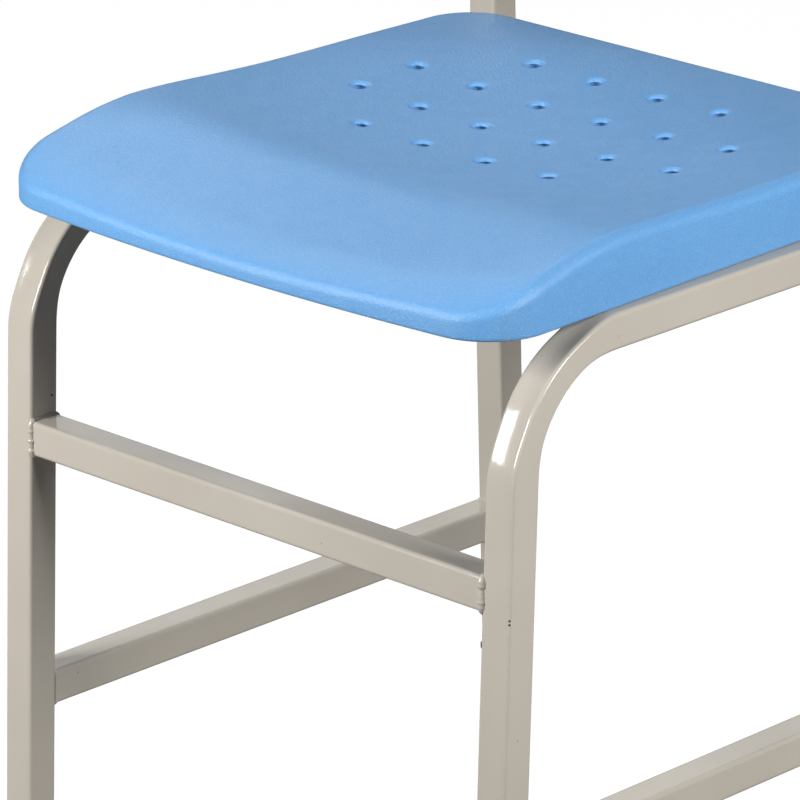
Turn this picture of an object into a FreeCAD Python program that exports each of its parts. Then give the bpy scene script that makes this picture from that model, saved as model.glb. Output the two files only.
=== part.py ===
import FreeCAD, Part
import Sketcher
import math
import os
from FreeCAD import Placement, Rotation, Vector

# School chair with a welded square-tube frame, a hollow moulded seat and a hollow moulded backrest.
# Millimetres, Z up, the sitter faces -Y. The origin is on the floor under the middle of the whole chair.

SIZES = {
    # Frame
    "tube": 22,
    "tube_wall": 1.5,
    "tube_corner": 2.5,
    "frame_width": 416,
    "foot_spread": 430.5,
    "leg_lean": 1.9,
    "rail_top": 415,
    "rail_bend_radius": 77,
    "front_stretcher_height": 264.5,
    "side_stretcher_height": 98,
    "post_bend_height": 470,
    "post_bend_radius": 160,
    "post_length": 300,
    "back_lean": 11,
    "weld_size": 4,
    "weld_margin": 2,
    # Feet and post plugs
    "foot_base": 5,
    "foot_bevel": 1.5,
    "foot_overhang": 1,
    "foot_depth": 18,
    "plug_head": 3,
    "plug_depth": 18,
    "fit_gap": 0.3,
    # Seat
    "seat_front_inset": 3,
    "seat_rear_inset": 13.5,
    "seat_length": 413,
    "seat_post_gap": 15,
    "seat_bow": 12,
    "seat_front_corner": 42,
    "seat_rear_corner": 40,
    "seat_rim": 41,
    "seat_rim_rise": 3.9,
    "seat_rise_centre": 149,
    "seat_rise_reach": 60,
    "seat_dish": 31,
    "seat_dish_centre": 225,
    "seat_dish_across": 1580,
    "seat_dish_along": 1163,
    "seat_blend": 5,
    "seat_front_height": 15.5,
    "seat_front_slope": 9.9,
    "seat_corner_rise": 9.3,
    "seat_corner_slope": 14.1,
    "seat_nose_length": 35,
    "seat_nose_drop": 4,
    "seat_corner_drop": 3,
    "seat_edge_radius": 8,
    "seat_base_radius": 2.5,
    "shell_wall": 3,
    "vent_pitch": 50.8,
    "vent_radius": 4.5,
    "vent_lip": 3.2,
    "vent_centre": 269,
    # Backrest
    "back_inset": 6,
    "back_height": 190,
    "back_thickness": 20,
    "back_over": 16,
    "back_corner": 40,
    "back_edge_radius": 7,
    "back_bow": 16,
    "back_flat": 36,
    # Seat brackets
    "bracket_length": 30,
    "bracket_reach": 26,
    "bracket_drop": 19,
    "bracket_wall": 2.5,
    "bracket_screw": 15,
    # Screws and washers
    "screw_radius": 2.5,
    "screw_head_radius": 5,
    "screw_head": 3,
    "screw_grip": 13,
    "washer_radius": 7,
    "washer_thickness": 1.2,
    "boss_radius": 8,
    "boss_cover": 2,
    "seat_screw_rear": 45,
    "seat_screw_pitch": 120,
    "back_screw_low": 40,
    "back_screw_high": 40,
}
SEAT_SCREWS_PER_SIDE = 3
SEAT_VENT_ROWS = (4, 6, 6, 4)
BACK_VENT_ROWS = (4, 6, 4)
CORNER_ROLL_SHARE = 0.31

doc = FreeCAD.newDocument("school_chair")
sheet = doc.addObject("Spreadsheet::Sheet", "Sizes")
for line_number, (alias, value) in enumerate(SIZES.items(), start=1):
    sheet.set(f"A{line_number}", alias)
    sheet.set(f"B{line_number}", str(value))
    sheet.setAlias(f"B{line_number}", alias)
doc.recompute()

NODES = []


def size(alias):
    """Value of a named size."""
    return float(sheet.get(alias))


def value_of(expression):
    """Number that a sheet expression gives."""
    result = sheet.evalExpression(expression)
    return float(getattr(result, "Value", result))


def node(item, label):
    """Give a finished sub-part its name and list it for writing."""
    item.Label = label
    NODES.append(item)
    return item


# Places along the frame, as sheet expressions

RAIL_AXIS = "(Sizes.rail_top - Sizes.tube / 2)"
HALF_LEG = "(Sizes.tube / 2 / cos(Sizes.leg_lean))"
SIDE_OFFSET = "(Sizes.frame_width - Sizes.tube) / 2"
INNER_WIDTH = "Sizes.frame_width - 2 * Sizes.tube"


def front_axis(height):
    """Y of a front leg's axis at a height."""
    return f"(tan(Sizes.leg_lean) * ({height}) - Sizes.foot_spread / 2)"


def rear_axis(height):
    """Y of a rear leg's axis at a height."""
    return f"(Sizes.foot_spread / 2 - tan(Sizes.leg_lean) * ({height}))"


SEAT_FRONT_HALF = "(Sizes.frame_width / 2 - Sizes.seat_front_inset)"
SEAT_REAR_HALF = "(Sizes.frame_width / 2 - Sizes.seat_rear_inset)"
BACK_HALF = "(Sizes.frame_width / 2 - Sizes.back_inset)"
SEAT_REAR = f"({rear_axis('Sizes.rail_top')} - {HALF_LEG} - Sizes.seat_post_gap)"
SEAT_SCREW_OFFSET = f"(({INNER_WIDTH}) / 2 - Sizes.bracket_screw)"


def seat_screw_places():
    """Y of the seat screws, from the rear forward."""
    first = f"{SEAT_REAR} - Sizes.seat_screw_rear"
    return [f"({first} - {step} * Sizes.seat_screw_pitch)" for step in range(SEAT_SCREWS_PER_SIDE)]


def back_screw_places():
    """Distances of the backrest screws up a post from its bend."""
    low = "(Sizes.post_length + Sizes.back_over - Sizes.back_height + Sizes.back_screw_low)"
    high = "(Sizes.post_length - Sizes.back_screw_high)"
    return [low, high]


# Sketch helpers

def new_body(name):
    """Empty body."""
    return doc.addObject("PartDesign::Body", name)


def new_sketch(body, name, plane):
    """Sketch on one of the body's own origin planes."""
    sketch = body.newObject("Sketcher::SketchObject", name)
    origin_plane = next(item for item in body.Origin.OriginFeatures if item.Role == plane)
    sketch.AttachmentSupport = [(origin_plane, "")]
    sketch.MapMode = "FlatFace"
    return sketch


def bind(sketch, constraint, name, expression):
    """Add a constraint whose value follows a sheet expression."""
    index = sketch.addConstraint(constraint)
    sketch.renameConstraint(index, name)
    sketch.setExpression(f"Constraints.{name}", expression)


def pin_point(sketch, geometry, vertex, place, name):
    """Hold a point at a place given as two sheet expressions."""
    for axis, expression in zip("XY", place):
        constraint = Sketcher.Constraint(f"Distance{axis}", -1, 1, geometry, vertex, value_of(expression))
        bind(sketch, constraint, f"{name}_{axis.lower()}", expression)


def rounded_square(sketch, side, radius, centre, name):
    """Closed square with rounded corners about a centre point."""
    half = value_of(side) / 2
    round_off = value_of(radius)
    middle = Vector(value_of(centre[0]), value_of(centre[1]), 0)
    flat = half - round_off
    lines = []
    arcs = []
    for quarter in range(4):
        turn = Rotation(Vector(0, 0, 1), 90 * quarter)
        start = middle + turn.multVec(Vector(-flat, -half, 0))
        finish = middle + turn.multVec(Vector(flat, -half, 0))
        hub = middle + turn.multVec(Vector(flat, -flat, 0))
        lines.append(sketch.addGeometry(Part.LineSegment(start, finish)))
        circle = Part.Circle(hub, Vector(0, 0, 1), round_off)
        first = math.radians(90 * quarter - 90)
        arcs.append(sketch.addGeometry(Part.ArcOfCircle(circle, first, first + math.pi / 2)))
    point = sketch.addGeometry(Part.Point(middle), True)
    for quarter in range(4):
        following = lines[(quarter + 1) % 4]
        sketch.addConstraint(Sketcher.Constraint("Tangent", lines[quarter], 2, arcs[quarter], 1))
        sketch.addConstraint(Sketcher.Constraint("Tangent", arcs[quarter], 2, following, 1))
        level = "Horizontal" if quarter % 2 == 0 else "Vertical"
        sketch.addConstraint(Sketcher.Constraint(level, lines[quarter]))
    for arc in arcs[1:]:
        sketch.addConstraint(Sketcher.Constraint("Equal", arcs[0], arc))
    sketch.addConstraint(Sketcher.Constraint("Symmetric", lines[0], 1, lines[2], 1, point, 1))
    bind(sketch, Sketcher.Constraint("Radius", arcs[0], round_off), f"{name}_radius", radius)
    bind(sketch, Sketcher.Constraint("DistanceX", lines[3], 1, lines[1], 1, 2 * half), f"{name}_wide", side)
    bind(sketch, Sketcher.Constraint("DistanceY", lines[0], 1, lines[2], 1, 2 * half), f"{name}_high", side)
    pin_point(sketch, point, 1, centre, f"{name}_centre")


def tube_section(sketch, centre=("0", "0")):
    """Wall section of the square tube."""
    rounded_square(sketch, "Sizes.tube", "Sizes.tube_corner", centre, "outside")
    inner_side = "Sizes.tube - 2 * Sizes.tube_wall"
    inner_radius = "Sizes.tube_corner - Sizes.tube_wall"
    rounded_square(sketch, inner_side, inner_radius, centre, "inside")


def polygon(sketch, corners, name):
    """Closed outline through corners given as pairs of sheet expressions."""
    points = [Vector(value_of(across), value_of(up), 0) for across, up in corners]
    count = len(points)
    lines = [sketch.addGeometry(Part.LineSegment(points[i], points[(i + 1) % count])) for i in range(count)]
    for i in range(count):
        sketch.addConstraint(Sketcher.Constraint("Coincident", lines[i], 2, lines[(i + 1) % count], 1))
        pin_point(sketch, lines[i], 1, corners[i], f"{name}_{i}")


def bent_path(sketch, start, corner, finish, radius):
    """Line, tangent arc and line; the two lines would meet at the corner."""
    first, meet, last = (Vector(value_of(a), value_of(b), 0) for a, b in (start, corner, finish))
    bend = value_of(radius)
    incoming = (meet - first).normalize()
    outgoing = (last - meet).normalize()
    reach = bend * math.tan(incoming.getAngle(outgoing) / 2)
    enter = meet - incoming * reach
    leave = meet + outgoing * reach
    side = (outgoing - incoming).normalize()
    hub = meet + side * math.hypot(bend, reach)
    middle = hub - side * bend
    line_in = sketch.addGeometry(Part.LineSegment(first, enter))
    arc = sketch.addGeometry(Part.Arc(enter, middle, leave))
    line_out = sketch.addGeometry(Part.LineSegment(leave, last))
    point = sketch.addGeometry(Part.Point(meet), True)
    arc_start = min((1, 2), key=lambda end: sketch.getPoint(arc, end).distanceToPoint(enter))
    sketch.addConstraint(Sketcher.Constraint("Tangent", line_in, 2, arc, arc_start))
    sketch.addConstraint(Sketcher.Constraint("Tangent", arc, 3 - arc_start, line_out, 1))
    bind(sketch, Sketcher.Constraint("Radius", arc, bend), "bend", radius)
    pin_point(sketch, line_in, 1, start, "start")
    pin_point(sketch, line_out, 2, finish, "finish")
    pin_point(sketch, point, 1, corner, "corner")
    sketch.addConstraint(Sketcher.Constraint("PointOnObject", point, 1, line_in))
    sketch.addConstraint(Sketcher.Constraint("PointOnObject", point, 1, line_out))


def tilt_sketch(sketch, base, axis, angle):
    """Shift a sketch on its plane and turn it about an axis by an angle from the sheet."""
    places = [value_of(part) for part in base]
    sketch.AttachmentOffset = Placement(Vector(*places), Rotation(axis, value_of(angle)))
    for letter, part in zip("xyz", base):
        sketch.setExpression(f"AttachmentOffset.Base.{letter}", part)
    sketch.setExpression("AttachmentOffset.Rotation.Angle", f"{angle} * 1 deg")


def pad_both_ways(body, sketch, length):
    """Pad a sketch evenly to both sides."""
    pad = body.newObject("PartDesign::Pad", "Pad")
    pad.Profile = sketch
    pad.SideType = "Symmetric"
    pad.setExpression("Length", length)
    sketch.Visibility = False
    return pad


def cut_through(body, sketch, name):
    """Cut a sketch through everything on both sides, and make sure that it removed material."""
    doc.recompute()
    before = body.Shape.Volume
    pocket = body.newObject("PartDesign::Pocket", name)
    pocket.Profile = sketch
    pocket.SideType = "Symmetric"
    pocket.Type = "ThroughAll"
    sketch.Visibility = False
    doc.recompute()
    if not body.Shape.Volume < before:
        raise RuntimeError(f"{body.Name}: {name} removed nothing")
    return pocket


def sweep_tube(body, path, profile):
    """Sweep the tube's wall section along a path sketch."""
    pipe = body.newObject("PartDesign::AdditivePipe", "Pipe")
    pipe.Profile = profile
    pipe.Spine = (path, ["Edge1", "Edge2", "Edge3"])
    path.Visibility = False
    profile.Visibility = False
    return pipe


def set_side(body, side):
    """Move a body built on the chair's middle plane out to one side frame."""
    sign = "-" if side < 0 else ""
    body.setExpression("Placement.Base.x", f"{sign}{SIDE_OFFSET}")


# Frame tubes

def behind_rear_leg(name, sketch):
    """Outline of the space behind the front face of a rear leg, for trimming a tube that meets it."""
    low, high = "0", "Sizes.rail_top + Sizes.tube"
    far = "Sizes.foot_spread"
    polygon(sketch, [
        (f"{rear_axis(low)} - {HALF_LEG}", low),
        (far, low),
        (far, high),
        (f"{rear_axis(high)} - {HALF_LEG}", high),
    ], name)


def before_front_leg(name, sketch):
    """Outline of the space ahead of the rear face of a front leg, for trimming a side stretcher."""
    low, high = "0", "Sizes.side_stretcher_height + Sizes.tube"
    far = "-Sizes.foot_spread"
    polygon(sketch, [
        (f"{front_axis(low)} + {HALF_LEG}", low),
        (f"{front_axis(high)} + {HALF_LEG}", high),
        (far, high),
        (far, low),
    ], name)


def below_tube_end(name, sketch, axis):
    """Outline of the space under the flat end of a leg, where the foot's base is."""
    reach = "2 * Sizes.tube"
    polygon(sketch, [
        (f"{axis('0')} - {reach}", "-Sizes.tube"),
        (f"{axis('0')} + {reach}", "-Sizes.tube"),
        (f"{axis('0')} + {reach}", "Sizes.foot_base"),
        (f"{axis('0')} - {reach}", "Sizes.foot_base"),
    ], name)


def screw_holes(sketch, places):
    """Clearance holes for screws at places given as pairs of sheet expressions."""
    radius = "Sizes.screw_radius + Sizes.fit_gap"
    for index, place in enumerate(places):
        centre = Vector(value_of(place[0]), value_of(place[1]), 0)
        hole = sketch.addGeometry(Part.Circle(centre, Vector(0, 0, 1), value_of(radius)))
        bind(sketch, Sketcher.Constraint("Radius", hole, value_of(radius)), f"hole_{index}_radius", radius)
        pin_point(sketch, hole, 3, place, f"hole_{index}")


def front_leg_rail(label, side):
    """Front leg and seat rail bent from one tube."""
    body = new_body(label)
    path = new_sketch(body, "Path", "YZ_Plane")
    corner = (front_axis(RAIL_AXIS), RAIL_AXIS)
    start = (front_axis("0"), "0")
    finish = (rear_axis(RAIL_AXIS), RAIL_AXIS)
    bent_path(path, start, corner, finish, "Sizes.rail_bend_radius")
    profile = new_sketch(body, "Profile", "XY_Plane")
    tube_section(profile)
    tilt_sketch(profile, ("0", front_axis("0"), "0"), Vector(-1, 0, 0), "Sizes.leg_lean")
    sweep_tube(body, path, profile)
    ends = new_sketch(body, "Ends", "YZ_Plane")
    behind_rear_leg("post", ends)
    below_tube_end("foot", ends, front_axis)
    cut_through(body, ends, "EndCuts")
    set_side(body, side)
    return node(body, label)


def rear_leg_post(label, side):
    """Rear leg and back post bent from one tube."""
    body = new_body(label)
    path = new_sketch(body, "Path", "YZ_Plane")
    corner = (rear_axis("Sizes.post_bend_height"), "Sizes.post_bend_height")
    top = (
        f"{corner[0]} + sin(Sizes.back_lean) * Sizes.post_length",
        f"{corner[1]} + cos(Sizes.back_lean) * Sizes.post_length",
    )
    bent_path(path, (rear_axis("0"), "0"), corner, top, "Sizes.post_bend_radius")
    profile = new_sketch(body, "Profile", "XY_Plane")
    tube_section(profile)
    tilt_sketch(profile, ("0", rear_axis("0"), "0"), Vector(1, 0, 0), "Sizes.leg_lean")
    sweep_tube(body, path, profile)
    end = new_sketch(body, "End", "YZ_Plane")
    below_tube_end("foot", end, rear_axis)
    cut_through(body, end, "EndCut")
    holes = new_sketch(body, "ScrewHoles", "XZ_Plane")
    screw_holes(holes, [("0", place) for place in back_screw_places()])
    tilt_sketch(holes, ("0", corner[1], f"-{corner[0]}"), Vector(-1, 0, 0), "Sizes.back_lean")
    cut_through(body, holes, "ScrewCuts")
    set_side(body, side)
    return node(body, label)


def cross_tube(label, centre):
    """Straight tube between the two side frames."""
    body = new_body(label)
    section = new_sketch(body, "Section", "YZ_Plane")
    tube_section(section, centre)
    pad_both_ways(body, section, INNER_WIDTH)
    return node(body, label)


def side_stretcher(label, side):
    """Straight tube between the front and rear leg of one side, cut to the lean of both."""
    body = new_body(label)
    section = new_sketch(body, "Section", "XZ_Plane")
    tube_section(section, ("0", "Sizes.side_stretcher_height"))
    pad_both_ways(body, section, "Sizes.foot_spread")
    ends = new_sketch(body, "Ends", "YZ_Plane")
    behind_rear_leg("rear", ends)
    before_front_leg("front", ends)
    cut_through(body, ends, "EndCuts")
    set_side(body, side)
    return node(body, label)


# Feet and plugs

def loft_square(body, name, side, levels, axis):
    """Straight loft between rounded squares that follow a leg's axis; side gives each level's width."""
    sketches = []
    for index, level in enumerate(levels):
        sketch = new_sketch(body, f"{name}{index}", "XY_Plane")
        rounded_square(sketch, side[index], "Sizes.tube_corner", ("0", axis(level)), "square")
        sketch.AttachmentOffset = Placement(Vector(0, 0, value_of(level)), Rotation())
        sketch.setExpression("AttachmentOffset.Base.z", level)
        sketch.Visibility = False
        sketches.append(sketch)
    loft = body.newObject("PartDesign::AdditiveLoft", name)
    loft.Profile = sketches[0]
    loft.Sections = sketches[1:]
    loft.Ruled = True
    return loft


def foot(label, side, axis):
    """Foot in the open end of a leg: a flange just wider than the tube and a spigot inside it."""
    body = new_body(label)
    flange = "Sizes.tube + 2 * Sizes.foot_overhang"
    sole = f"{flange} - 2 * Sizes.foot_bevel"
    levels = ("0", "Sizes.foot_bevel", "Sizes.foot_base")
    loft_square(body, "Flange", (sole, flange, flange), levels, axis)
    stem = "Sizes.tube - 2 * Sizes.tube_wall - 2 * Sizes.fit_gap"
    levels = ("Sizes.foot_base", "Sizes.foot_base + Sizes.foot_depth")
    loft_square(body, "Spigot", (stem, stem), levels, axis)
    set_side(body, side)
    return node(body, label)


def post_plug(label, side):
    """Plug in the open top of a back post: a head on the tube's end and a spigot inside it."""
    body = new_body(label)
    head = new_sketch(body, "Head", "XY_Plane")
    rounded_square(head, "Sizes.tube", "Sizes.tube_corner", ("0", "0"), "head")
    pad = body.newObject("PartDesign::Pad", "HeadPad")
    pad.Profile = head
    pad.setExpression("Length", "Sizes.plug_head")
    spigot = new_sketch(body, "Spigot", "XY_Plane")
    side_length = "Sizes.tube - 2 * Sizes.tube_wall - 2 * Sizes.fit_gap"
    rounded_square(spigot, side_length, "Sizes.tube_corner - Sizes.tube_wall", ("0", "0"), "spigot")
    stem = body.newObject("PartDesign::Pad", "SpigotPad")
    stem.Profile = spigot
    stem.Reversed = True
    stem.setExpression("Length", "Sizes.plug_depth")
    head.Visibility = False
    spigot.Visibility = False
    top = Vector(side * value_of(SIDE_OFFSET), 0, size("post_length"))
    body.Placement = back_frame().multiply(Placement(top, Rotation()))
    return node(body, label)


def back_frame():
    """Placement of the upper post's axis: origin at its bend, Z up the post, Y to the rear."""
    height = size("post_bend_height")
    base = Vector(0, value_of(rear_axis(str(height))), height)
    return Placement(base, Rotation(Vector(-1, 0, 0), size("back_lean")))


# Weld beads

def bead(corner, along_bar, along_leg, across):
    """Fillet bead in the corner between a bar and a leg."""
    width = size("weld_size")
    length = size("tube") - 2 * size("tube_corner") - 2 * size("weld_margin")
    start = corner - across * (length / 2)
    points = [start, start + along_bar * width, start + along_leg * width, start]
    return Part.Face(Part.makePolygon(points)).extrude(across * length)


def group(label, shapes):
    """Separate solids kept together as one sub-part."""
    item = doc.addObject("Part::Feature", label)
    item.Shape = Part.makeCompound(shapes)
    return node(item, label)


def cross_beads(label, height, axis):
    """Beads above and below both ends of a cross tube."""
    inner = value_of(INNER_WIDTH) / 2
    beads = []
    for side in (-1, 1):
        for up in (-1, 1):
            level = height + up * size("tube") / 2
            corner = Vector(side * inner, value_of(axis(str(height))), level)
            beads.append(bead(corner, Vector(-side, 0, 0), Vector(0, 0, up), Vector(0, 1, 0)))
    return group(label, beads)


def leg_bead(side, height, up, axis, to_bar):
    """Bead where a bar of a side frame meets a leaning leg; to_bar is the bar's direction from the leg."""
    level = height + up * size("tube") / 2
    face = value_of(axis(str(level))) + to_bar * value_of(HALF_LEG)
    rise = value_of(axis(str(level + up))) - value_of(axis(str(level)))
    along_leg = Vector(0, rise, up).normalize()
    corner = Vector(side * value_of(SIDE_OFFSET), face, level)
    return bead(corner, Vector(0, to_bar, 0), along_leg, Vector(1, 0, 0))


def side_beads(label, side):
    """Beads above and below both ends of a side stretcher."""
    height = size("side_stretcher_height")
    ends = ((front_axis, 1), (rear_axis, -1))
    beads = [leg_bead(side, height, up, axis, to_bar) for axis, to_bar in ends for up in (-1, 1)]
    return group(label, beads)


def rail_beads(label, side):
    """Beads above and below the end of a seat rail on its back post."""
    height = value_of(RAIL_AXIS)
    return group(label, [leg_bead(side, height, up, rear_axis, -1) for up in (-1, 1)])


# Moulded shells

def smooth_lower(first, second, blend):
    """Lower of two heights, with the corner between them blended."""
    share = max(blend - abs(first - second), 0) / blend
    return min(first, second) - share * share * blend / 4


def seat_height(across, depth):
    """Height of the seat's top above the rails; depth is measured back from the front edge's middle."""
    dish = size("seat_dish") + across ** 2 / (2 * size("seat_dish_across"))
    dish += (depth - size("seat_dish_centre")) ** 2 / (2 * size("seat_dish_along"))
    share = abs(across) / value_of(SEAT_FRONT_HALF)
    rise = math.exp(-((depth - size("seat_rise_centre")) / size("seat_rise_reach")) ** 2)
    rim = size("seat_rim") + size("seat_rim_rise") * rise * share ** 2
    edge = size("seat_bow") * share ** 2 + CORNER_ROLL_SHARE * size("seat_front_corner") * share ** 8
    middle_slope = math.tan(math.radians(size("seat_front_slope")))
    corner_slope = math.tan(math.radians(size("seat_corner_slope")))
    slope = middle_slope + (corner_slope - middle_slope) * share ** 2
    ramp = size("seat_front_height") + size("seat_corner_rise") * share ** 2 + slope * (depth - edge)
    height = smooth_lower(smooth_lower(dish, rim, size("seat_blend")), ramp, size("seat_blend"))
    nose = max(size("seat_nose_length") - (depth - edge), 0) / size("seat_nose_length")
    return height - (size("seat_nose_drop") + size("seat_corner_drop") * share ** 2) * nose ** 2


def spaced(first, last, count):
    """Evenly spaced values, both ends included."""
    return [first + (last - first) * i / (count - 1) for i in range(count)]


def upright_edges(solid, front):
    """Vertical edges of a prism in its front or rear half."""
    middle = solid.BoundBox.Center.y
    edges = []
    for edge in solid.Edges:
        ends = edge.Vertexes
        upright = len(ends) == 2 and abs(edge.tangentAt(edge.FirstParameter).z) > 0.99
        if upright and (ends[0].Point.y < middle) == front:
            edges.append(edge)
    return edges


def seat_prism(inset):
    """Plan outline of the seat as a prism, drawn in all round by an inset."""
    front = value_of(SEAT_REAR) - size("seat_length") + inset
    rear = value_of(SEAT_REAR) - inset
    wide = value_of(SEAT_FRONT_HALF) - inset
    narrow = value_of(SEAT_REAR_HALF) - inset
    shoulder = front + size("seat_bow")
    floor = size("rail_top") + inset
    points = [Vector(-wide, shoulder, floor), Vector(wide, shoulder, floor)]
    points += [Vector(narrow, rear, floor), Vector(-narrow, rear, floor)]
    edges = [Part.Arc(points[0], Vector(0, front, floor), points[1]).toShape()]
    edges += [Part.makeLine(points[i], points[(i + 1) % 4]) for i in range(1, 4)]
    prism = Part.Face(Part.Wire(edges)).extrude(Vector(0, 0, 2 * size("seat_rim")))
    prism = prism.makeFillet(size("seat_front_corner") - inset, upright_edges(prism, True))
    return prism.makeFillet(size("seat_rear_corner") - inset, upright_edges(prism, False))


def seat_top(inset):
    """Solid above the seat's dished top, lowered by an inset."""
    front = value_of(SEAT_REAR) - size("seat_length")
    margin = size("seat_front_corner")
    reach = value_of(SEAT_FRONT_HALF) + margin
    columns = spaced(-reach, reach, 29)
    rows = spaced(-margin, size("seat_length") + margin, 37)
    base = size("rail_top") - inset
    grid = [[Vector(x, front + d, base + seat_height(x, d)) for d in rows] for x in columns]
    surface = Part.BSplineSurface()
    surface.interpolate(grid)
    return surface.toShape().extrude(Vector(0, 0, 3 * size("seat_rim")))


def free_edges(solid, kind):
    """Outer edges of the faces of one surface kind."""
    edges = []
    for face in solid.Faces:
        if face.Surface.TypeId == kind:
            edges += face.OuterWire.Edges
    return edges


def seat_solid(inset):
    """Closed body of the seat, all faces moved in by an inset."""
    body = seat_prism(inset).cut(seat_top(inset))
    top_edges = free_edges(body, "Part::GeomBSplineSurface")
    return body.makeFillet(size("seat_edge_radius") - inset, top_edges)


def vent_places(rows):
    """Centres of the vent holes about the middle of their pattern, across and along."""
    pitch = size("vent_pitch")
    places = []
    for row, count in enumerate(rows):
        along = (row - (len(rows) - 1) / 2) * pitch
        places += [((column - (count - 1) / 2) * pitch, along) for column in range(count)]
    return places


def vent_tool(top, direction, length):
    """Vent hole with a flared lip; top is where its axis meets the outer face."""
    radius = size("vent_radius")
    lip = size("vent_lip")
    hole = Part.makeCylinder(radius, length, top, direction)
    flare = Part.makeCone(radius + 2 * lip, radius, 2 * lip, top - direction * lip, direction)
    return hole.fuse(flare)


def seat_shell(label):
    """Hollow seat with tunnels round the vents and bosses over the screws."""
    wall = size("shell_wall")
    rim = size("seat_rim")
    front = value_of(SEAT_REAR) - size("seat_length")
    floor = size("rail_top")
    down = Vector(0, 0, -1)
    tunnels = []
    vents = []
    for across, along in vent_places(SEAT_VENT_ROWS):
        depth = size("vent_centre") + along
        top = Vector(across, front + depth, floor + seat_height(across, depth))
        tunnels.append(Part.makeCylinder(size("vent_radius") + wall, 2 * rim, Vector(top.x, top.y, floor)))
        vents.append(vent_tool(top, down, 2 * rim))
    bosses = []
    pilots = []
    for side in (-1, 1):
        for place in seat_screw_places():
            base = Vector(side * value_of(SEAT_SCREW_OFFSET), value_of(place), floor)
            height = size("screw_grip") + size("fit_gap")
            bosses.append(Part.makeCylinder(size("boss_radius"), height + size("boss_cover"), base))
            pilots.append(Part.makeCylinder(size("screw_radius") + size("fit_gap"), height, base))
    outside = seat_solid(0)
    base = min(outside.Faces, key=lambda face: face.BoundBox.ZMax)
    outside = outside.makeFillet(size("seat_base_radius"), base.OuterWire.Edges)
    cavity = seat_solid(wall).cut(tunnels + bosses)
    item = doc.addObject("Part::Feature", label)
    item.Shape = outside.cut(cavity).cut(vents + pilots).Solids[0]
    return node(item, label)


def back_face(across):
    """Rear face of the backrest from the posts' axes: flat at the posts, bowed back between them."""
    reach = value_of(BACK_HALF) - size("back_flat")
    bow = 0
    if abs(across) < reach:
        bow = size("back_bow") * math.cos(math.pi * across / (2 * reach)) ** 2
    return bow - size("tube") / 2


def back_solid(inset):
    """Closed body of the backrest in the back frame, all faces moved in by an inset."""
    half = value_of(BACK_HALF)
    top = size("post_length") + size("back_over") - inset
    bottom = size("post_length") + size("back_over") - size("back_height") + inset
    stations = spaced(-half, half, 33)
    rear = Part.BSplineCurve()
    rear.interpolate([Vector(x, back_face(x) - inset, bottom) for x in stations])
    front = Part.BSplineCurve()
    step = inset - size("back_thickness")
    front.interpolate([Vector(x, back_face(x) + step, bottom) for x in stations])
    limits = (front.FirstParameter, front.LastParameter)
    ends = [Part.makeLine(front.value(limit), rear.value(limit)) for limit in limits]
    band = Part.Face(Part.Wire([rear.toShape(), ends[1], front.toShape(), ends[0]]))
    slab = band.extrude(Vector(0, 0, top - bottom))
    depth = 4 * (size("back_thickness") + size("back_bow"))
    panel = Part.makeBox(2 * (half - inset), depth, top - bottom, Vector(inset - half, -depth / 2, bottom))
    corners = [edge for edge in panel.Edges if abs(edge.tangentAt(edge.FirstParameter).y) > 0.99]
    panel = panel.makeFillet(size("back_corner") - inset, corners)
    body = slab.common(panel)
    face_edges = free_edges(body, "Part::GeomSurfaceOfExtrusion")
    return body.makeFillet(size("back_edge_radius") - inset, face_edges)


def backrest_shell(label):
    """Hollow backrest with tunnels round the vents and bosses over the screws."""
    wall = size("shell_wall")
    thickness = size("back_thickness")
    middle = size("post_length") + size("back_over") - size("back_height") / 2
    rearward = Vector(0, 1, 0)
    length = 2 * thickness
    tunnels = []
    vents = []
    for across, along in vent_places(BACK_VENT_ROWS):
        front = Vector(across, back_face(across) - thickness, middle + along)
        tunnels.append(Part.makeCylinder(size("vent_radius") + wall, length, front, rearward))
        vents.append(vent_tool(front, rearward, length))
    bosses = []
    pilots = []
    for side in (-1, 1):
        for place in back_screw_places():
            base = Vector(side * value_of(SIDE_OFFSET), -size("tube") / 2, value_of(place))
            grip = size("screw_grip") + size("fit_gap")
            bosses.append(Part.makeCylinder(size("boss_radius"), grip + size("boss_cover"), base, -rearward))
            pilots.append(Part.makeCylinder(size("screw_radius") + size("fit_gap"), grip, base, -rearward))
    cavity = back_solid(wall).cut(tunnels + bosses)
    item = doc.addObject("Part::Feature", label)
    item.Shape = back_solid(0).cut(cavity).cut(vents + pilots).Solids[0]
    item.Placement = back_frame()
    return node(item, label)


# Brackets, screws and washers

def screw_master(name, clamped):
    """Pan-head screw: head below the origin, shank up the Z axis through washer and clamped piece."""
    body = new_body(name)
    profile = new_sketch(body, "Profile", "XZ_Plane")
    shank = f"Sizes.washer_thickness + {clamped} + Sizes.screw_grip"
    polygon(profile, [
        ("0", "-Sizes.screw_head"),
        ("Sizes.screw_head_radius - Sizes.screw_head / 2", "-Sizes.screw_head"),
        ("Sizes.screw_head_radius", "-Sizes.screw_head / 2"),
        ("Sizes.screw_head_radius", "0"),
        ("Sizes.screw_radius", "0"),
        ("Sizes.screw_radius", f"{shank} - Sizes.screw_radius"),
        ("Sizes.screw_radius / 2", shank),
        ("0", shank),
    ], "corner")
    turned = body.newObject("PartDesign::Revolution", "Turned")
    turned.Profile = profile
    turned.ReferenceAxis = (profile, ["V_Axis"])
    turned.Angle = 360
    profile.Visibility = False
    return body


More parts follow.
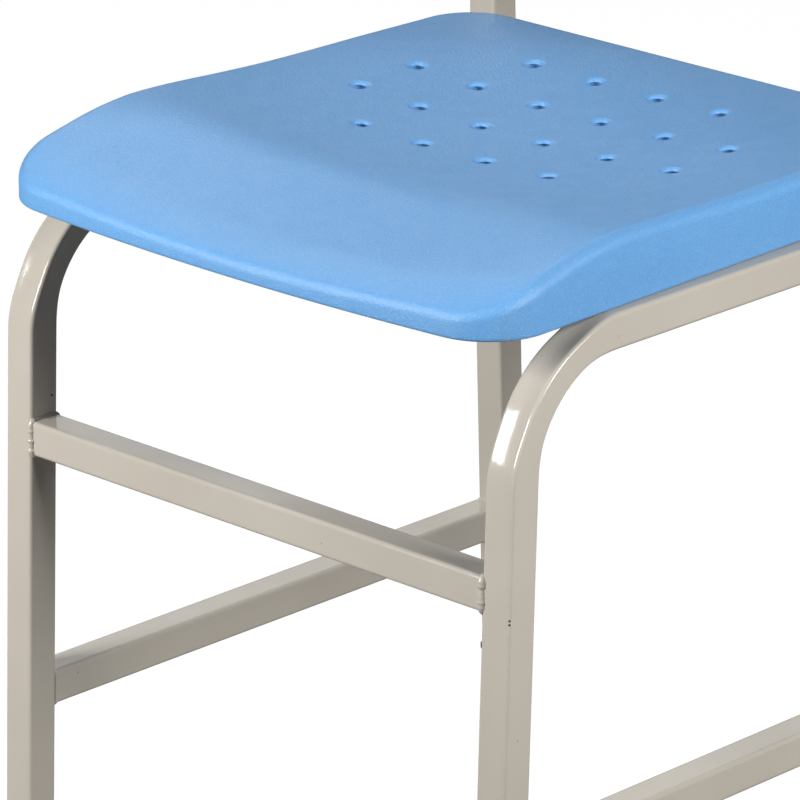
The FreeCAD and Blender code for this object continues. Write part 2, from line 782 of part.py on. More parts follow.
def washer_master():
    """Flat washer on the XY plane."""
    body = new_body("washer")
    ring = new_sketch(body, "Ring", "XY_Plane")
    bore = "Sizes.screw_radius + Sizes.fit_gap"
    for name, radius in (("outside", "Sizes.washer_radius"), ("bore", bore)):
        circle = ring.addGeometry(Part.Circle(Vector(0, 0, 0), Vector(0, 0, 1), value_of(radius)))
        ring.addConstraint(Sketcher.Constraint("Coincident", circle, 3, -1, 1))
        bind(ring, Sketcher.Constraint("Radius", circle, value_of(radius)), name, radius)
    pad = body.newObject("PartDesign::Pad", "RingPad")
    pad.Profile = ring
    pad.setExpression("Length", "Sizes.washer_thickness")
    ring.Visibility = False
    return body


def bracket_master():
    """Seat bracket: an angle whose upright lies on a rail's inner face, with its top level with the rail."""
    body = new_body("bracket")
    angle = new_sketch(body, "Angle", "XZ_Plane")
    polygon(angle, [
        ("0", "0"),
        ("0", "-Sizes.bracket_drop"),
        ("Sizes.bracket_wall", "-Sizes.bracket_drop"),
        ("Sizes.bracket_wall", "-Sizes.bracket_wall"),
        ("Sizes.bracket_reach", "-Sizes.bracket_wall"),
        ("Sizes.bracket_reach", "0"),
    ], "corner")
    pad_both_ways(body, angle, "Sizes.bracket_length")
    hole = new_sketch(body, "ScrewHole", "XY_Plane")
    screw_holes(hole, [("Sizes.bracket_screw", "0")])
    cut_through(body, hole, "ScrewCut")
    return body


def copies(master, placements):
    """Copies of a master's shape at several placements."""
    shapes = []
    for place in placements:
        shape = master.Shape.copy()
        shape.Placement = place
        shapes.append(shape)
    return shapes


def seat_fixings():
    """Brackets on the rails, with the washers and screws that hold the seat down on them."""
    top = size("rail_top")
    under_bracket = top - size("bracket_wall") - size("washer_thickness")
    bracket = bracket_master()
    screw_places = []
    for name, side in SIDES:
        turn = Rotation(Vector(0, 0, 1), 180 if side > 0 else 0)
        inner = side * value_of(INNER_WIDTH) / 2
        rows = [value_of(place) for place in seat_screw_places()]
        bracket_places = [Placement(Vector(inner, y, top), turn) for y in rows]
        group(f"{name}_seat_brackets", copies(bracket, bracket_places))
        offset = side * value_of(SEAT_SCREW_OFFSET)
        screw_places += [Placement(Vector(offset, y, under_bracket), Rotation()) for y in rows]
    screw = screw_master("seat_screw", "Sizes.bracket_wall")
    doc.recompute()
    group("seat_screws", copies(screw, screw_places))
    group("seat_washers", copies(WASHER, screw_places))


def backrest_fixings():
    """Screws and washers that hold the backrest on the posts."""
    behind_post = size("tube") / 2 + size("washer_thickness")
    places = []
    for _, side in SIDES:
        for place in back_screw_places():
            base = Vector(side * value_of(SIDE_OFFSET), behind_post, value_of(place))
            places.append(back_frame().multiply(Placement(base, Rotation(Vector(1, 0, 0), 90))))
    screw = screw_master("backrest_screw", "Sizes.tube")
    doc.recompute()
    group("backrest_screws", copies(screw, places))
    group("backrest_washers", copies(WASHER, places))


# Assembly

SIDES = (("left", -1), ("right", 1))
for name, side in SIDES:
    front_leg_rail(f"{name}_front_leg_rail", side)
    rear_leg_post(f"{name}_rear_leg_post", side)
    side_stretcher(f"{name}_side_stretcher", side)
    foot(f"{name}_front_foot", side, front_axis)
    foot(f"{name}_rear_foot", side, rear_axis)
    post_plug(f"{name}_post_plug", side)
    side_beads(f"{name}_side_welds", side)
    rail_beads(f"{name}_rail_welds", side)
cross_tube("front_stretcher", (front_axis("Sizes.front_stretcher_height"), "Sizes.front_stretcher_height"))
cross_tube("rear_crossbar", (rear_axis(RAIL_AXIS), RAIL_AXIS))
cross_beads("front_stretcher_welds", size("front_stretcher_height"), front_axis)
cross_beads("rear_crossbar_welds", value_of(RAIL_AXIS), rear_axis)
seat_shell("seat_shell")
backrest_shell("backrest_shell")
WASHER = washer_master()
doc.recompute()
seat_fixings()
backrest_fixings()
doc.recompute()

# The origin goes under the middle of the whole chair.
whole = FreeCAD.BoundBox()
for item in NODES:
    whole.add(item.Shape.optimalBoundingBox(False, False))
for item in NODES:
    place = item.Placement
    place.Base.y -= whole.Center.y
    item.Placement = place
doc.recompute()

for item in doc.Objects:
    if "Invalid" in item.State or "Error" in item.State:
        raise RuntimeError(f"{item.Label} did not compute")
os.makedirs("parts", exist_ok=True)
for item in NODES:
    if item.Shape.isNull() or not item.Shape.isValid():
        raise RuntimeError(f"{item.Label} has no valid shape")
    item.Shape.exportStep(f"parts/{item.Label}.step")
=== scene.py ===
import math

import bmesh
import bpy
import numpy as np
from mathutils import Euler, Matrix, Vector, geometry, noise


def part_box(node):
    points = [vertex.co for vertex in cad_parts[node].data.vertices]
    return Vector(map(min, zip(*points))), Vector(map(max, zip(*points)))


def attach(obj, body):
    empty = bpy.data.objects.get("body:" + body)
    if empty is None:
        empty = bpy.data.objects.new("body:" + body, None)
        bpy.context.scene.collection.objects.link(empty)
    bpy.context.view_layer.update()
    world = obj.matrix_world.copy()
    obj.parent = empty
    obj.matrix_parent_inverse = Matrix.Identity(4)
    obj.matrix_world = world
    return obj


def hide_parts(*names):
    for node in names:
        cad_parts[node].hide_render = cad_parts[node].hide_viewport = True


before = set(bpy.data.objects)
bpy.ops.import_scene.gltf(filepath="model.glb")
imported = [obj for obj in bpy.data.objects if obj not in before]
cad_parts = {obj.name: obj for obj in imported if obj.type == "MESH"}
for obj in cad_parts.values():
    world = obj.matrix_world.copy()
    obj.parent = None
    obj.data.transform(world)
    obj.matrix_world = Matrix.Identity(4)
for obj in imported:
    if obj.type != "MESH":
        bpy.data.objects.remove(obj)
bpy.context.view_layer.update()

# Looks of a school chair: enamelled square-tube frame, grained moulded seat and backrest.
# Metres, in the frame's own axes: Z up, the sitter faces -Y, the floor at zero.

MM = 0.001


def middle_of(node):
    """Centre of a node's box."""
    low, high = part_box(node)
    return (low + high) / 2


# Sizes of the frame

RAIL_LOW, RAIL_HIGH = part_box("right_front_leg_rail")
TUBE = RAIL_HIGH.x - RAIL_LOW.x
HALF_TUBE = TUBE / 2
TUBE_CORNER = 2.5 * MM
TUBE_WALL = 1.5 * MM
BORE_DEPTH = 22 * MM
SIDE = middle_of("right_front_leg_rail").x
INNER = SIDE - HALF_TUBE
OUTER = SIDE + HALF_TUBE
TUBE_END = RAIL_LOW.z
RAIL_TOP = RAIL_HIGH.z
RAIL_AXIS = RAIL_TOP - HALF_TUBE
LEG_LEAN = math.radians(1.9)
HALF_LEG = HALF_TUBE / math.cos(LEG_LEAN)
FRONT_BAR = middle_of("front_stretcher")
REAR_BAR = middle_of("rear_crossbar")
FRONT_FOOT = FRONT_BAR.y - math.tan(LEG_LEAN) * FRONT_BAR.z
REAR_FOOT = REAR_BAR.y + math.tan(LEG_LEAN) * REAR_BAR.z
RAIL_BEND = 77 * MM
POST_BEND = 160 * MM
POST_KINK = 470 * MM
POST_LENGTH = 300 * MM
BACK_LEAN = math.radians(11)

# Sizes of the moulded shells

SEAT_LOW, SEAT_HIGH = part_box("seat_shell")
SEAT_FRONT = SEAT_LOW.y
SEAT_REAR = SEAT_HIGH.y
SEAT_FRONT_INSET = 3 * MM
SEAT_REAR_INSET = 13.5 * MM
SEAT_FRONT_HALF = OUTER - SEAT_FRONT_INSET
SEAT_REAR_HALF = OUTER - SEAT_REAR_INSET
SEAT_BOW = 12 * MM
SEAT_FRONT_CORNER = 42 * MM
SEAT_REAR_CORNER = 40 * MM
SEAT_RIM = 41 * MM
SEAT_RIM_RISE = 3.9 * MM
SEAT_RISE_CENTRE = 149 * MM
SEAT_RISE_REACH = 60 * MM
SEAT_DISH = 31 * MM
SEAT_DISH_CENTRE = 225 * MM
SEAT_DISH_ACROSS = 1580 * MM
SEAT_DISH_ALONG = 1163 * MM
SEAT_BLEND = 5 * MM
SEAT_FRONT_HEIGHT = 15.5 * MM
SEAT_FRONT_SLOPE = math.tan(math.radians(9.9))
SEAT_CORNER_RISE = 9.3 * MM
SEAT_CORNER_SLOPE = math.tan(math.radians(14.1))
SEAT_NOSE_LENGTH = 35 * MM
SEAT_NOSE_DROP = 4 * MM
SEAT_CORNER_DROP = 3 * MM
CORNER_ROLL_SHARE = 0.31
CORNER_ROLL_POWER = 8
SEAT_EDGE = 8 * MM
SEAT_BASE_EDGE = 2.5 * MM
VENT_PITCH = 50.8 * MM
VENT_RADIUS = 5.3 * MM
VENT_LIP = 2.7 * MM
SEAT_VENT_CENTRE = 269 * MM
SEAT_VENT_ROWS = (4, 6, 6, 4)
BACK_INSET = 6 * MM
BACK_HALF = OUTER - BACK_INSET
BACK_HEIGHT = 190 * MM
BACK_RISE = 16 * MM
BACK_TOP = POST_LENGTH + BACK_RISE
BACK_THICKNESS = 20 * MM
BACK_CORNER = 40 * MM
BACK_EDGE = 7 * MM
BACK_BOW = 16 * MM
BACK_FLAT = 36 * MM
BACK_VENT_ROWS = (4, 6, 4)


def front_axis(height):
    """Y of a front leg's axis at a height."""
    return FRONT_FOOT + math.tan(LEG_LEAN) * height


def rear_axis(height):
    """Y of a rear leg's axis at a height."""
    return REAR_FOOT - math.tan(LEG_LEAN) * height


def back_point(x, rearward, up):
    """Point given in the upper post's own axes, with the origin at the post's bend."""
    sine, cosine = math.sin(BACK_LEAN), math.cos(BACK_LEAN)
    y = rear_axis(POST_KINK) + rearward * cosine + up * sine
    return Vector((x, y, POST_KINK + up * cosine - rearward * sine))


# Node materials

SPOT_CORE = 0.5


class Graph:
    """Node tree of one material, written as calls."""

    def __init__(self, name):
        self.material = bpy.data.materials.new(name)
        self.material.use_nodes = True
        self.tree = self.material.node_tree
        self.shader = self.tree.nodes["Principled BSDF"]
        self.place = self.add("ShaderNodeTexCoord").outputs["Object"]

    def add(self, kind, settings=None, **inputs):
        """New node; inputs are numbers, colours or the sockets that feed them."""
        item = self.tree.nodes.new(kind)
        for key, value in (settings or {}).items():
            setattr(item, key, value)
        for key, value in inputs.items():
            self.feed(item.inputs[key.replace("_", " ").title()], value)
        return item

    def feed(self, socket, value):
        """Set a socket to a value or link it."""
        if isinstance(value, bpy.types.NodeSocket):
            self.tree.links.new(value, socket)
        else:
            socket.default_value = value

    def set(self, **inputs):
        """Inputs of the main shader."""
        for key, value in inputs.items():
            self.feed(self.shader.inputs[key.replace("_", " ")], value)

    def noise(self, scale, detail=2.0, roughness=0.5, place=None):
        """Fractal noise between 0 and 1."""
        source = self.place if place is None else place
        numbers = {"Scale": scale, "Detail": detail, "Roughness": roughness}
        item = self.add("ShaderNodeTexNoise", Vector=source, **numbers)
        return item.outputs[0]

    def cells(self, scale, feature="F1"):
        """Distance to the nearest points of a random cloud."""
        item = self.add("ShaderNodeTexVoronoi", {"feature": feature}, Vector=self.place, Scale=scale)
        return item.outputs["Distance"]

    def stretched(self, scale, rotation):
        """Coordinates turned and stretched along the axes."""
        item = self.add("ShaderNodeMapping", Vector=self.place, Scale=scale, Rotation=rotation)
        return item.outputs[0]

    def ramp(self, value, low, high, start=0.0, finish=1.0):
        """Smooth step of a value between two limits."""
        item = self.add("ShaderNodeMapRange", {"interpolation_type": "SMOOTHSTEP"}, Value=value)
        for key, number in (("From Min", low), ("From Max", high), ("To Min", start), ("To Max", finish)):
            item.inputs[key].default_value = number
        return item.outputs[0]

    def math(self, operation, first, second):
        """Arithmetic on two values."""
        item = self.add("ShaderNodeMath", {"operation": operation})
        self.feed(item.inputs[0], first)
        self.feed(item.inputs[1], second)
        return item.outputs[0]

    def mix(self, share, first, second):
        """Blend of two colours."""
        item = self.add("ShaderNodeMix", {"data_type": "RGBA"})
        self.feed(item.inputs[0], share)
        self.feed(item.inputs[6], first)
        self.feed(item.inputs[7], second)
        return item.outputs[2]

    def stain(self, tint, mask, strength, colour):
        """Colour laid over a tint where a mask says so."""
        return self.mix(self.math("MULTIPLY", mask, strength), tint, colour)

    def spots(self, places, radius):
        """Small marks round given places: 1 inside and 0 outside."""
        total = 0.0
        for place in places:
            item = self.add("ShaderNodeVectorMath", {"operation": "DISTANCE"}, Vector=self.place)
            item.inputs[1].default_value = [number * MM for number in place]
            mark = self.ramp(item.outputs["Value"], SPOT_CORE * radius, radius, 1.0, 0.0)
            total = self.math("MAXIMUM", total, mark)
        return total

    def bump(self, height, distance, strength=1.0, normal=None):
        """Bumped normal."""
        item = self.add("ShaderNodeBump", Height=height, Strength=strength)
        item.inputs["Distance"].default_value = distance
        if normal is not None:
            self.tree.links.new(normal, item.inputs["Normal"])
        return item.outputs[0]


def rgb(red, green, blue):
    """Colour socket value."""
    return (red, green, blue, 1.0)


def grey(level):
    """Colour socket value without a hue."""
    return rgb(level, level, level)


# Marks seen in the photograph, their places in millimetres

PAINT_CHIPS = ((207.3, -232.5, 254.3), (207.3, -232.5, 251.9), (-186, -236.2, 162.5), (-186, -215.1, 288))
DUST_SPECKS = ((-203, -241, 304), (-195, -241, 190), (196, -240, 120), (208, -226, 180), (60, -233, 262))
SEAT_NICKS = ((-184, -124, 457), (-151, -192, 446), (-119, -170, 447))
CHIP_RADIUS = 1.0 * MM
SPECK_RADIUS = 0.7 * MM
NICK_RADIUS = 2.2 * MM

# Colours, in linear light

PLASTIC_DEEP = rgb(0.112, 0.325, 0.64)
PLASTIC_PALE = rgb(0.122, 0.343, 0.665)
PLASTIC_SCUFF = rgb(0.085, 0.21, 0.41)
PLASTIC_NICK = rgb(0.06, 0.17, 0.36)
# Pale fleck colour for the grain peaks: painted glint, partly pale wear
PLASTIC_WORN_PEAK_AND_GLINT = rgb(0.52, 0.70, 0.94)
ENAMEL_DEEP = rgb(0.455, 0.415, 0.355)
ENAMEL_PALE = rgb(0.48, 0.44, 0.38)
ENAMEL_HOLE = rgb(0.09, 0.08, 0.07)
ENAMEL_CHIP = rgb(0.07, 0.06, 0.05)
ENAMEL_SPECK = rgb(0.15, 0.13, 0.11)
ZINC_DEEP = rgb(0.50, 0.50, 0.48)
ZINC_PALE = rgb(0.68, 0.68, 0.66)
BLACK = rgb(0.022, 0.022, 0.023)
BLACK_DUST = rgb(0.09, 0.085, 0.08)

# Textures: features to the metre, heights of relief and roughness

PLASTIC_CLOUDS = 9.0
PLASTIC_SHEEN = 60.0
SCUFF_STREAKS = 30.0
SCUFF_PATCHES = 14.0
STREAK_STRETCH = (3.0, 0.35, 1.0)
STREAK_TURN = (0, 0, 0.6)
PEBBLES = 700.0
SAND = 1000.0
GRAIN_HEIGHT = 0.5 * MM
SPARKLES = 560.0
SPARKLE_HEIGHT = 5 * MM
ENAMEL_CLOUDS = 11.0
ENAMEL_SHEEN = 40.0
PIN_HOLES = 95.0
PIN_HOLE_PATCHES = 23.0
PAINT_WAVES = 85.0
PAINT_WAVE_HEIGHT = 0.6 * MM
ORANGE_PEEL = 260.0
ORANGE_PEEL_HEIGHT = 0.2 * MM
ZINC_CLOUDS = 180.0
ZINC_GRAIN = 900.0
ZINC_GRAIN_HEIGHT = 0.1 * MM
DUST_CLOUDS = 70.0
BLACK_GRAIN = 1200.0
BLACK_GRAIN_HEIGHT = 0.2 * MM
FOOT_ROUGHNESS = 0.62
PLUG_ROUGHNESS = 0.42
DUST_ROUGHNESS = 0.2


def moulded_plastic():
    """Light blue plastic with a fine pebbled grain, a sparkling skin, pale flecks on the grain peaks that
    are partly wear and partly painted glints, and a few faint scuffs.
    """
    graph = Graph("moulded_plastic")
    cloud = graph.ramp(graph.noise(PLASTIC_CLOUDS, 3.0), 0.3, 0.7)
    tint = graph.mix(cloud, PLASTIC_DEEP, PLASTIC_PALE)
    streaks = graph.noise(SCUFF_STREAKS, 5.0, 0.7, graph.stretched(STREAK_STRETCH, STREAK_TURN))
    patches = graph.noise(SCUFF_PATCHES)
    scuff = graph.math("MULTIPLY", graph.ramp(streaks, 0.66, 0.78), graph.ramp(patches, 0.55, 0.7))
    tint = graph.stain(tint, scuff, 0.06, PLASTIC_SCUFF)
    tint = graph.stain(tint, graph.spots(SEAT_NICKS, NICK_RADIUS), 0.35, PLASTIC_NICK)
    pebbles = graph.cells(PEBBLES, "SMOOTH_F1")
    sand = graph.noise(SAND, 2.0, 0.6)
    # Pale flecks on the grain peaks: painted glints, partly pale wear of the peaks
    tint = graph.stain(tint, graph.ramp(sand, 0.52, 0.72), 0.2, PLASTIC_WORN_PEAK_AND_GLINT)
    grain = graph.math("ADD", graph.math("MULTIPLY", pebbles, 0.7), graph.math("MULTIPLY", sand, 1.8))
    soft = graph.bump(grain, GRAIN_HEIGHT, 0.5)
    sparkle = graph.bump(graph.noise(SPARKLES, 3.0, 0.7), SPARKLE_HEIGHT, 1.0)
    gloss = graph.ramp(graph.noise(PLASTIC_SHEEN, 4.0), 0.25, 0.75, 0.37, 0.45)
    graph.set(Base_Color=tint, Roughness=gloss, Normal=soft)
    graph.set(Coat_Weight=0.5, Coat_Roughness=0.14, Coat_Normal=sparkle)
    return graph.material


def enamel():
    """Glossy warm grey enamel with shallow waves, orange peel, pin holes, chips and dust."""
    graph = Graph("enamel")
    cloud = graph.ramp(graph.noise(ENAMEL_CLOUDS, 4.0), 0.3, 0.7)
    tint = graph.mix(cloud, ENAMEL_DEEP, ENAMEL_PALE)
    holes = graph.ramp(graph.cells(PIN_HOLES), 0.03, 0.045, 1.0, 0.0)
    chosen = graph.ramp(graph.noise(PIN_HOLE_PATCHES), 0.62, 0.66)
    tint = graph.stain(tint, holes, chosen, ENAMEL_HOLE)
    tint = graph.mix(graph.spots(PAINT_CHIPS, CHIP_RADIUS), tint, ENAMEL_CHIP)
    tint = graph.stain(tint, graph.spots(DUST_SPECKS, SPECK_RADIUS), 0.7, ENAMEL_SPECK)
    waves = graph.bump(graph.noise(PAINT_WAVES, 1.0), PAINT_WAVE_HEIGHT, 0.1)
    peel = graph.bump(graph.noise(ORANGE_PEEL, 2.0), ORANGE_PEEL_HEIGHT, 0.12, waves)
    gloss = graph.ramp(graph.noise(ENAMEL_SHEEN, 4.0), 0.3, 0.7, 0.11, 0.18)
    graph.set(Base_Color=tint, Roughness=gloss, Normal=peel)
    return graph.material


def zinc():
    """Zinc-plated steel."""
    graph = Graph("zinc")
    cloud = graph.noise(ZINC_CLOUDS, 4.0, 0.65)
    tint = graph.mix(cloud, ZINC_DEEP, ZINC_PALE)
    normal = graph.bump(graph.noise(ZINC_GRAIN, 3.0), ZINC_GRAIN_HEIGHT, 0.3)
    gloss = graph.ramp(cloud, 0.2, 0.8, 0.28, 0.45)
    graph.set(Base_Color=tint, Metallic=1.0, Roughness=gloss, Normal=normal)
    return graph.material


def black_plastic(name, roughness):
    """Matt black moulding with fine grain and a little dust."""
    graph = Graph(name)
    dust = graph.ramp(graph.noise(DUST_CLOUDS, 6.0, 0.7), 0.5, 0.8)
    tint = graph.stain(BLACK, dust, 0.35, BLACK_DUST)
    normal = graph.bump(graph.noise(BLACK_GRAIN, 3.0), BLACK_GRAIN_HEIGHT, 0.4)
    gloss = graph.ramp(dust, 0.0, 1.0, roughness, roughness + DUST_ROUGHNESS)
    graph.set(Base_Color=tint, Roughness=gloss, Normal=normal)
    return graph.material


MATERIALS = {
    "shell": moulded_plastic(),
    "enamel": enamel(),
    "fixing": zinc(),
    "foot": black_plastic("foot_rubber", FOOT_ROUGHNESS),
    "plug": black_plastic("plug_plastic", PLUG_ROUGHNESS),
}

# Mesh building

SHARP_ANGLE = math.radians(40)
CUT_TOLERANCE = 1e-7


class Skin:
    """Points and faces of one piece, gathered loop by loop."""

    def __init__(self):
        self.points = []
        self.faces = []

    def loop(self, points):
        """Add points and return their numbers."""
        start = len(self.points)
        self.points += [tuple(point) for point in points]
        return list(range(start, len(self.points)))

    def bridge(self, first, second):
        """Band of quads between two closed loops of equal length."""
        count = len(first)
        for i in range(count):
            j = (i + 1) % count
            self.faces.append((first[i], first[j], second[j], second[i]))

    def tower(self, rings):
        """Loops joined one to the next; returns the loops' numbers."""
        loops = [self.loop(ring) for ring in rings]
        for first, second in zip(loops, loops[1:]):
            self.bridge(first, second)
        return loops

    def closed_tower(self, rings):
        """Loops joined one to the next, with both ends closed."""
        loops = self.tower(rings)
        self.faces += [tuple(loops[0]), tuple(loops[-1])]

    def piece(self, name, slot, *nodes):
        """Make the object that stands for CAD nodes."""
        mesh = bpy.data.meshes.new(name)
        mesh.from_pydata(self.points, [], self.faces)
        shape = bmesh.new()
        shape.from_mesh(mesh)
        bmesh.ops.recalc_face_normals(shape, faces=shape.faces)
        shape.to_mesh(mesh)
        shape.free()
        mesh.shade_smooth()
        mesh.set_sharp_from_angle(angle=SHARP_ANGLE)
        mesh.materials.append(MATERIALS[slot])
        item = bpy.data.objects.new(name, mesh)
        bpy.context.scene.collection.objects.link(item)
        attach(item, "root")
        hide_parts(*nodes)


def spaced(first, last, count):
    """Evenly spaced numbers, both ends included."""
    return [first + (last - first) * i / (count - 1) for i in range(count)]


def ring_borders(rings):
    """Edges of closed rings whose points are numbered one ring after another."""
    borders = []
    start = 0
    for ring in rings:
        count = len(ring)
        borders += [(start + i, start + (i + 1) % count) for i in range(count)]
        start += count
    return borders


CORNER_STEPS = 8
CORNER_LIMIT = 0.6
FACE_STEPS = 9
EDGE_SUPPORT = 0.3 * MM
SUPPORT_LIMIT = 0.2


def square_section(side, radius):
    """Outline of a square with rounded corners, with extra points next to each corner."""
    half = side / 2
    radius = min(radius, CORNER_LIMIT * half)
    flat = half - radius
    support = min(EDGE_SUPPORT, SUPPORT_LIMIT * flat)
    along = [-flat] + spaced(-flat + support, flat - support, FACE_STEPS) + [flat]
    section = []
    for quarter in range(4):
        turn = Matrix.Rotation(quarter * math.pi / 2, 2)
        section += [turn @ Vector((offset, -half)) for offset in along]
        for angle in spaced(-math.pi / 2, 0, CORNER_STEPS + 1)[1:-1]:
            hub = Vector((flat, -flat))
            section.append(turn @ (hub + radius * Vector((math.cos(angle), math.sin(angle)))))
    return section


TUBE_SECTION = square_section(TUBE, TUBE_CORNER)
BORE_SECTION = square_section(TUBE - 2 * TUBE_WALL, TUBE_CORNER - TUBE_WALL)

# Frame tubes

BEND_SINK = 2.2 * MM
BEND_DISH = 1.9 * MM
BEND_ROUND = 1.1 * MM
BEND_ROUND_POWER = 6
BEND_INNER_SINK = 1.5 * MM
BEND_EASE = 0.28
RAIL_FLATTENING = 1.0
POST_FLATTENING = 0.15
ARC_STEPS = 48


def ease(share):
    """Smooth step from 0 to 1."""
    share = min(max(share, 0.0), 1.0)
    return share * share * (3 - 2 * share)


def squeezed(across, outward, amount):
    """Point of the tube's section where the bend has flattened it."""
    level = outward / HALF_TUBE
    if level > 0:
        share = abs(across) / HALF_TUBE
        drop = BEND_SINK + BEND_DISH * (1 - share ** 2) + BEND_ROUND * share ** BEND_ROUND_POWER
        return outward - amount * level * drop
    return outward - amount * level * BEND_INNER_SINK


def bent_stations(start, corner, finish, radius):
    """Stations along line, arc and line in the YZ plane: place, direction and share of the bend."""
    first, meet, last = Vector(start), Vector(corner), Vector(finish)
    incoming = (meet - first).normalized()
    outgoing = (last - meet).normalized()
    turn = incoming.angle(outgoing)
    reach = radius * math.tan(turn / 2)
    enter = meet - incoming * reach
    normal = Vector((incoming.y, -incoming.x))
    hub = enter + normal * radius
    stations = [(first, incoming, 0.0)]
    for share in spaced(0.0, 1.0, ARC_STEPS + 1):
        spin = Matrix.Rotation(-turn * share, 2)
        stations.append((hub - spin @ (normal * radius), spin @ incoming, share))
    stations.append((last, outgoing, 1.0))
    return stations


def tube_ring(section, side, place, direction, amount=0.0):
    """Section of a tube on one side of the chair, square to its direction."""
    outward = Vector((-direction.y, direction.x))
    ring = []
    for across, level in section:
        point = place + outward * squeezed(across, level, amount)
        ring.append(Vector((side * SIDE + across, point.x, point.y)))
    return ring


def open_end(side, place, inward, trim):
    """Rings of an open tube end, from its bore out to its rim."""
    deep = tube_ring(BORE_SECTION, side, place + inward * BORE_DEPTH, inward)
    rim = tube_ring(BORE_SECTION, side, place, inward)
    return [deep, [trim(point) for point in rim]]


def bent_tube(side, stations, flattening, trim_start, trim_end):
    """Rings of a tube along stations, flattened in its bend and open at its lower end."""
    rings = []
    for place, direction, share in stations:
        amount = flattening * ease(share / BEND_EASE) * ease((1 - share) / BEND_EASE)
        rings.append(tube_ring(TUBE_SECTION, side, place, direction, amount))
    rings[0] = [trim_start(point) for point in rings[0]]
    rings[-1] = [trim_end(point) for point in rings[-1]]
    place, direction, _ = stations[0]
    return open_end(side, place, direction, trim_start) + rings


def cut_level(lean):
    """Cut of a leg's lower end level with the floor."""
    def cut(point):
        return Vector((point.x, point.y + (TUBE_END - point.z) * math.tan(lean), TUBE_END))
    return cut


def meet_rear_leg(point):
    """Cut of a bar's end against the front of a leaning rear leg."""
    return Vector((point.x, rear_axis(point.z) - HALF_LEG, point.z))


def meet_front_leg(point):
    """Cut of a bar's end against the rear of a leaning front leg."""
    return Vector((point.x, front_axis(point.z) + HALF_LEG, point.z))


def front_leg_rail(name, side):
    """Front leg and seat rail bent from one tube."""
    start = (front_axis(TUBE_END), TUBE_END)
    corner = (front_axis(RAIL_AXIS), RAIL_AXIS)
    finish = (rear_axis(RAIL_AXIS) - HALF_LEG, RAIL_AXIS)
    stations = bent_stations(start, corner, finish, RAIL_BEND)
    skin = Skin()
    skin.closed_tower(bent_tube(side, stations, RAIL_FLATTENING, cut_level(LEG_LEAN), meet_rear_leg))
    skin.piece(f"{name}_leg_and_rail", "enamel", f"{name}_front_leg_rail")


def rear_leg_post(name, side):
    """Rear leg and back post bent from one tube, open at its top too."""
    start = (rear_axis(TUBE_END), TUBE_END)
    corner = (rear_axis(POST_KINK), POST_KINK)
    top = back_point(0, 0, POST_LENGTH)
    stations = bent_stations(start, corner, (top.y, top.z), POST_BEND)
    rings = bent_tube(side, stations, POST_FLATTENING, cut_level(-LEG_LEAN), Vector)
    place, direction, _ = stations[-1]
    for depth in (0, BORE_DEPTH):
        rings.append(tube_ring(BORE_SECTION, side, place - direction * depth, direction))
    skin = Skin()
    skin.closed_tower(rings)
    skin.piece(f"{name}_leg_and_post", "enamel", f"{name}_rear_leg_post")


def cross_bar(name, node):
    """Straight tube between the side frames."""
    hub = middle_of(node)
    rings = []
    for x in (-INNER, INNER):
        rings.append([Vector((x, hub.y + across, hub.z + level)) for across, level in TUBE_SECTION])
    skin = Skin()
    skin.closed_tower(rings)
    skin.piece(name, "enamel", node)


def side_bar(name, node, side):
    """Straight tube between the legs of one side."""
    height = middle_of(node).z
    ring = [Vector((side * SIDE + across, 0, height + level)) for across, level in TUBE_SECTION]
    skin = Skin()
    front = [meet_front_leg(point) for point in ring]
    rear = [meet_rear_leg(point) for point in ring]
    skin.closed_tower([front, rear])
    skin.piece(name, "enamel", node)


# Feet and plugs

STEM_CLEARANCE = 0.3 * MM
STEM = TUBE - 2 * TUBE_WALL - 2 * STEM_CLEARANCE
STEM_DEPTH = 18 * MM
FOOT_LOW, FOOT_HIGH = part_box("right_front_foot")
FLANGE = FOOT_HIGH.x - FOOT_LOW.x
SEAM = 0.25 * MM
FOOT_BEVEL = 1.5 * MM
PLUG_HEAD = 3 * MM
PLUG_ROUND = 1.4 * MM
PLUG_DOME = 0.5 * MM
PLUG_DOME_SHARES = (0.8, 0.6, 0.4, 0.2, 0.05)
ROUND_STEPS = 6


def quarter_round(radius):
    """Insets and heights over a rounded edge, from its flat face to its side."""
    turns = spaced(0.0, math.pi / 2, ROUND_STEPS)
    return [(radius * (1 - math.sin(turn)), radius * (1 - math.cos(turn))) for turn in turns]


def foot(name, node, side, axis):
    """Plastic foot in a leg's open end: a flange with a rounded sole and a spigot inside the tube."""
    profile = [(FLANGE - 2 * inset, height) for inset, height in quarter_round(FOOT_BEVEL)]
    profile += [(FLANGE, TUBE_END - SEAM), (FLANGE - 2 * SEAM, TUBE_END)]
    profile += [(STEM, TUBE_END), (STEM, TUBE_END + STEM_DEPTH)]
    rings = []
    for width, height in profile:
        section = square_section(width, TUBE_CORNER)
        rings.append([Vector((side * SIDE + u, axis(height) + v, height)) for u, v in section])
    skin = Skin()
    skin.closed_tower(rings)
    skin.piece(name, "foot", node)


def post_plug(name, node, side):
    """Plug in a post's open top: a spigot and a slightly domed head."""
    shoulder = PLUG_HEAD - PLUG_DOME
    profile = [(STEM, -STEM_DEPTH), (STEM, 0), (TUBE - 2 * SEAM, 0), (TUBE, SEAM)]
    for inset, drop in reversed(quarter_round(PLUG_ROUND)):
        profile.append((TUBE - 2 * inset, shoulder - drop))
    crown = TUBE - 2 * PLUG_ROUND
    for share in PLUG_DOME_SHARES:
        profile.append((crown * share, PLUG_HEAD - PLUG_DOME * share ** 2))
    rings = []
    for width, up in profile:
        section = square_section(width, TUBE_CORNER)
        rings.append([back_point(side * SIDE + u, v, POST_LENGTH + up) for u, v in section])
    skin = Skin()
    skin.closed_tower(rings)
    skin.piece(name, "plug", node)


# Screws and brackets

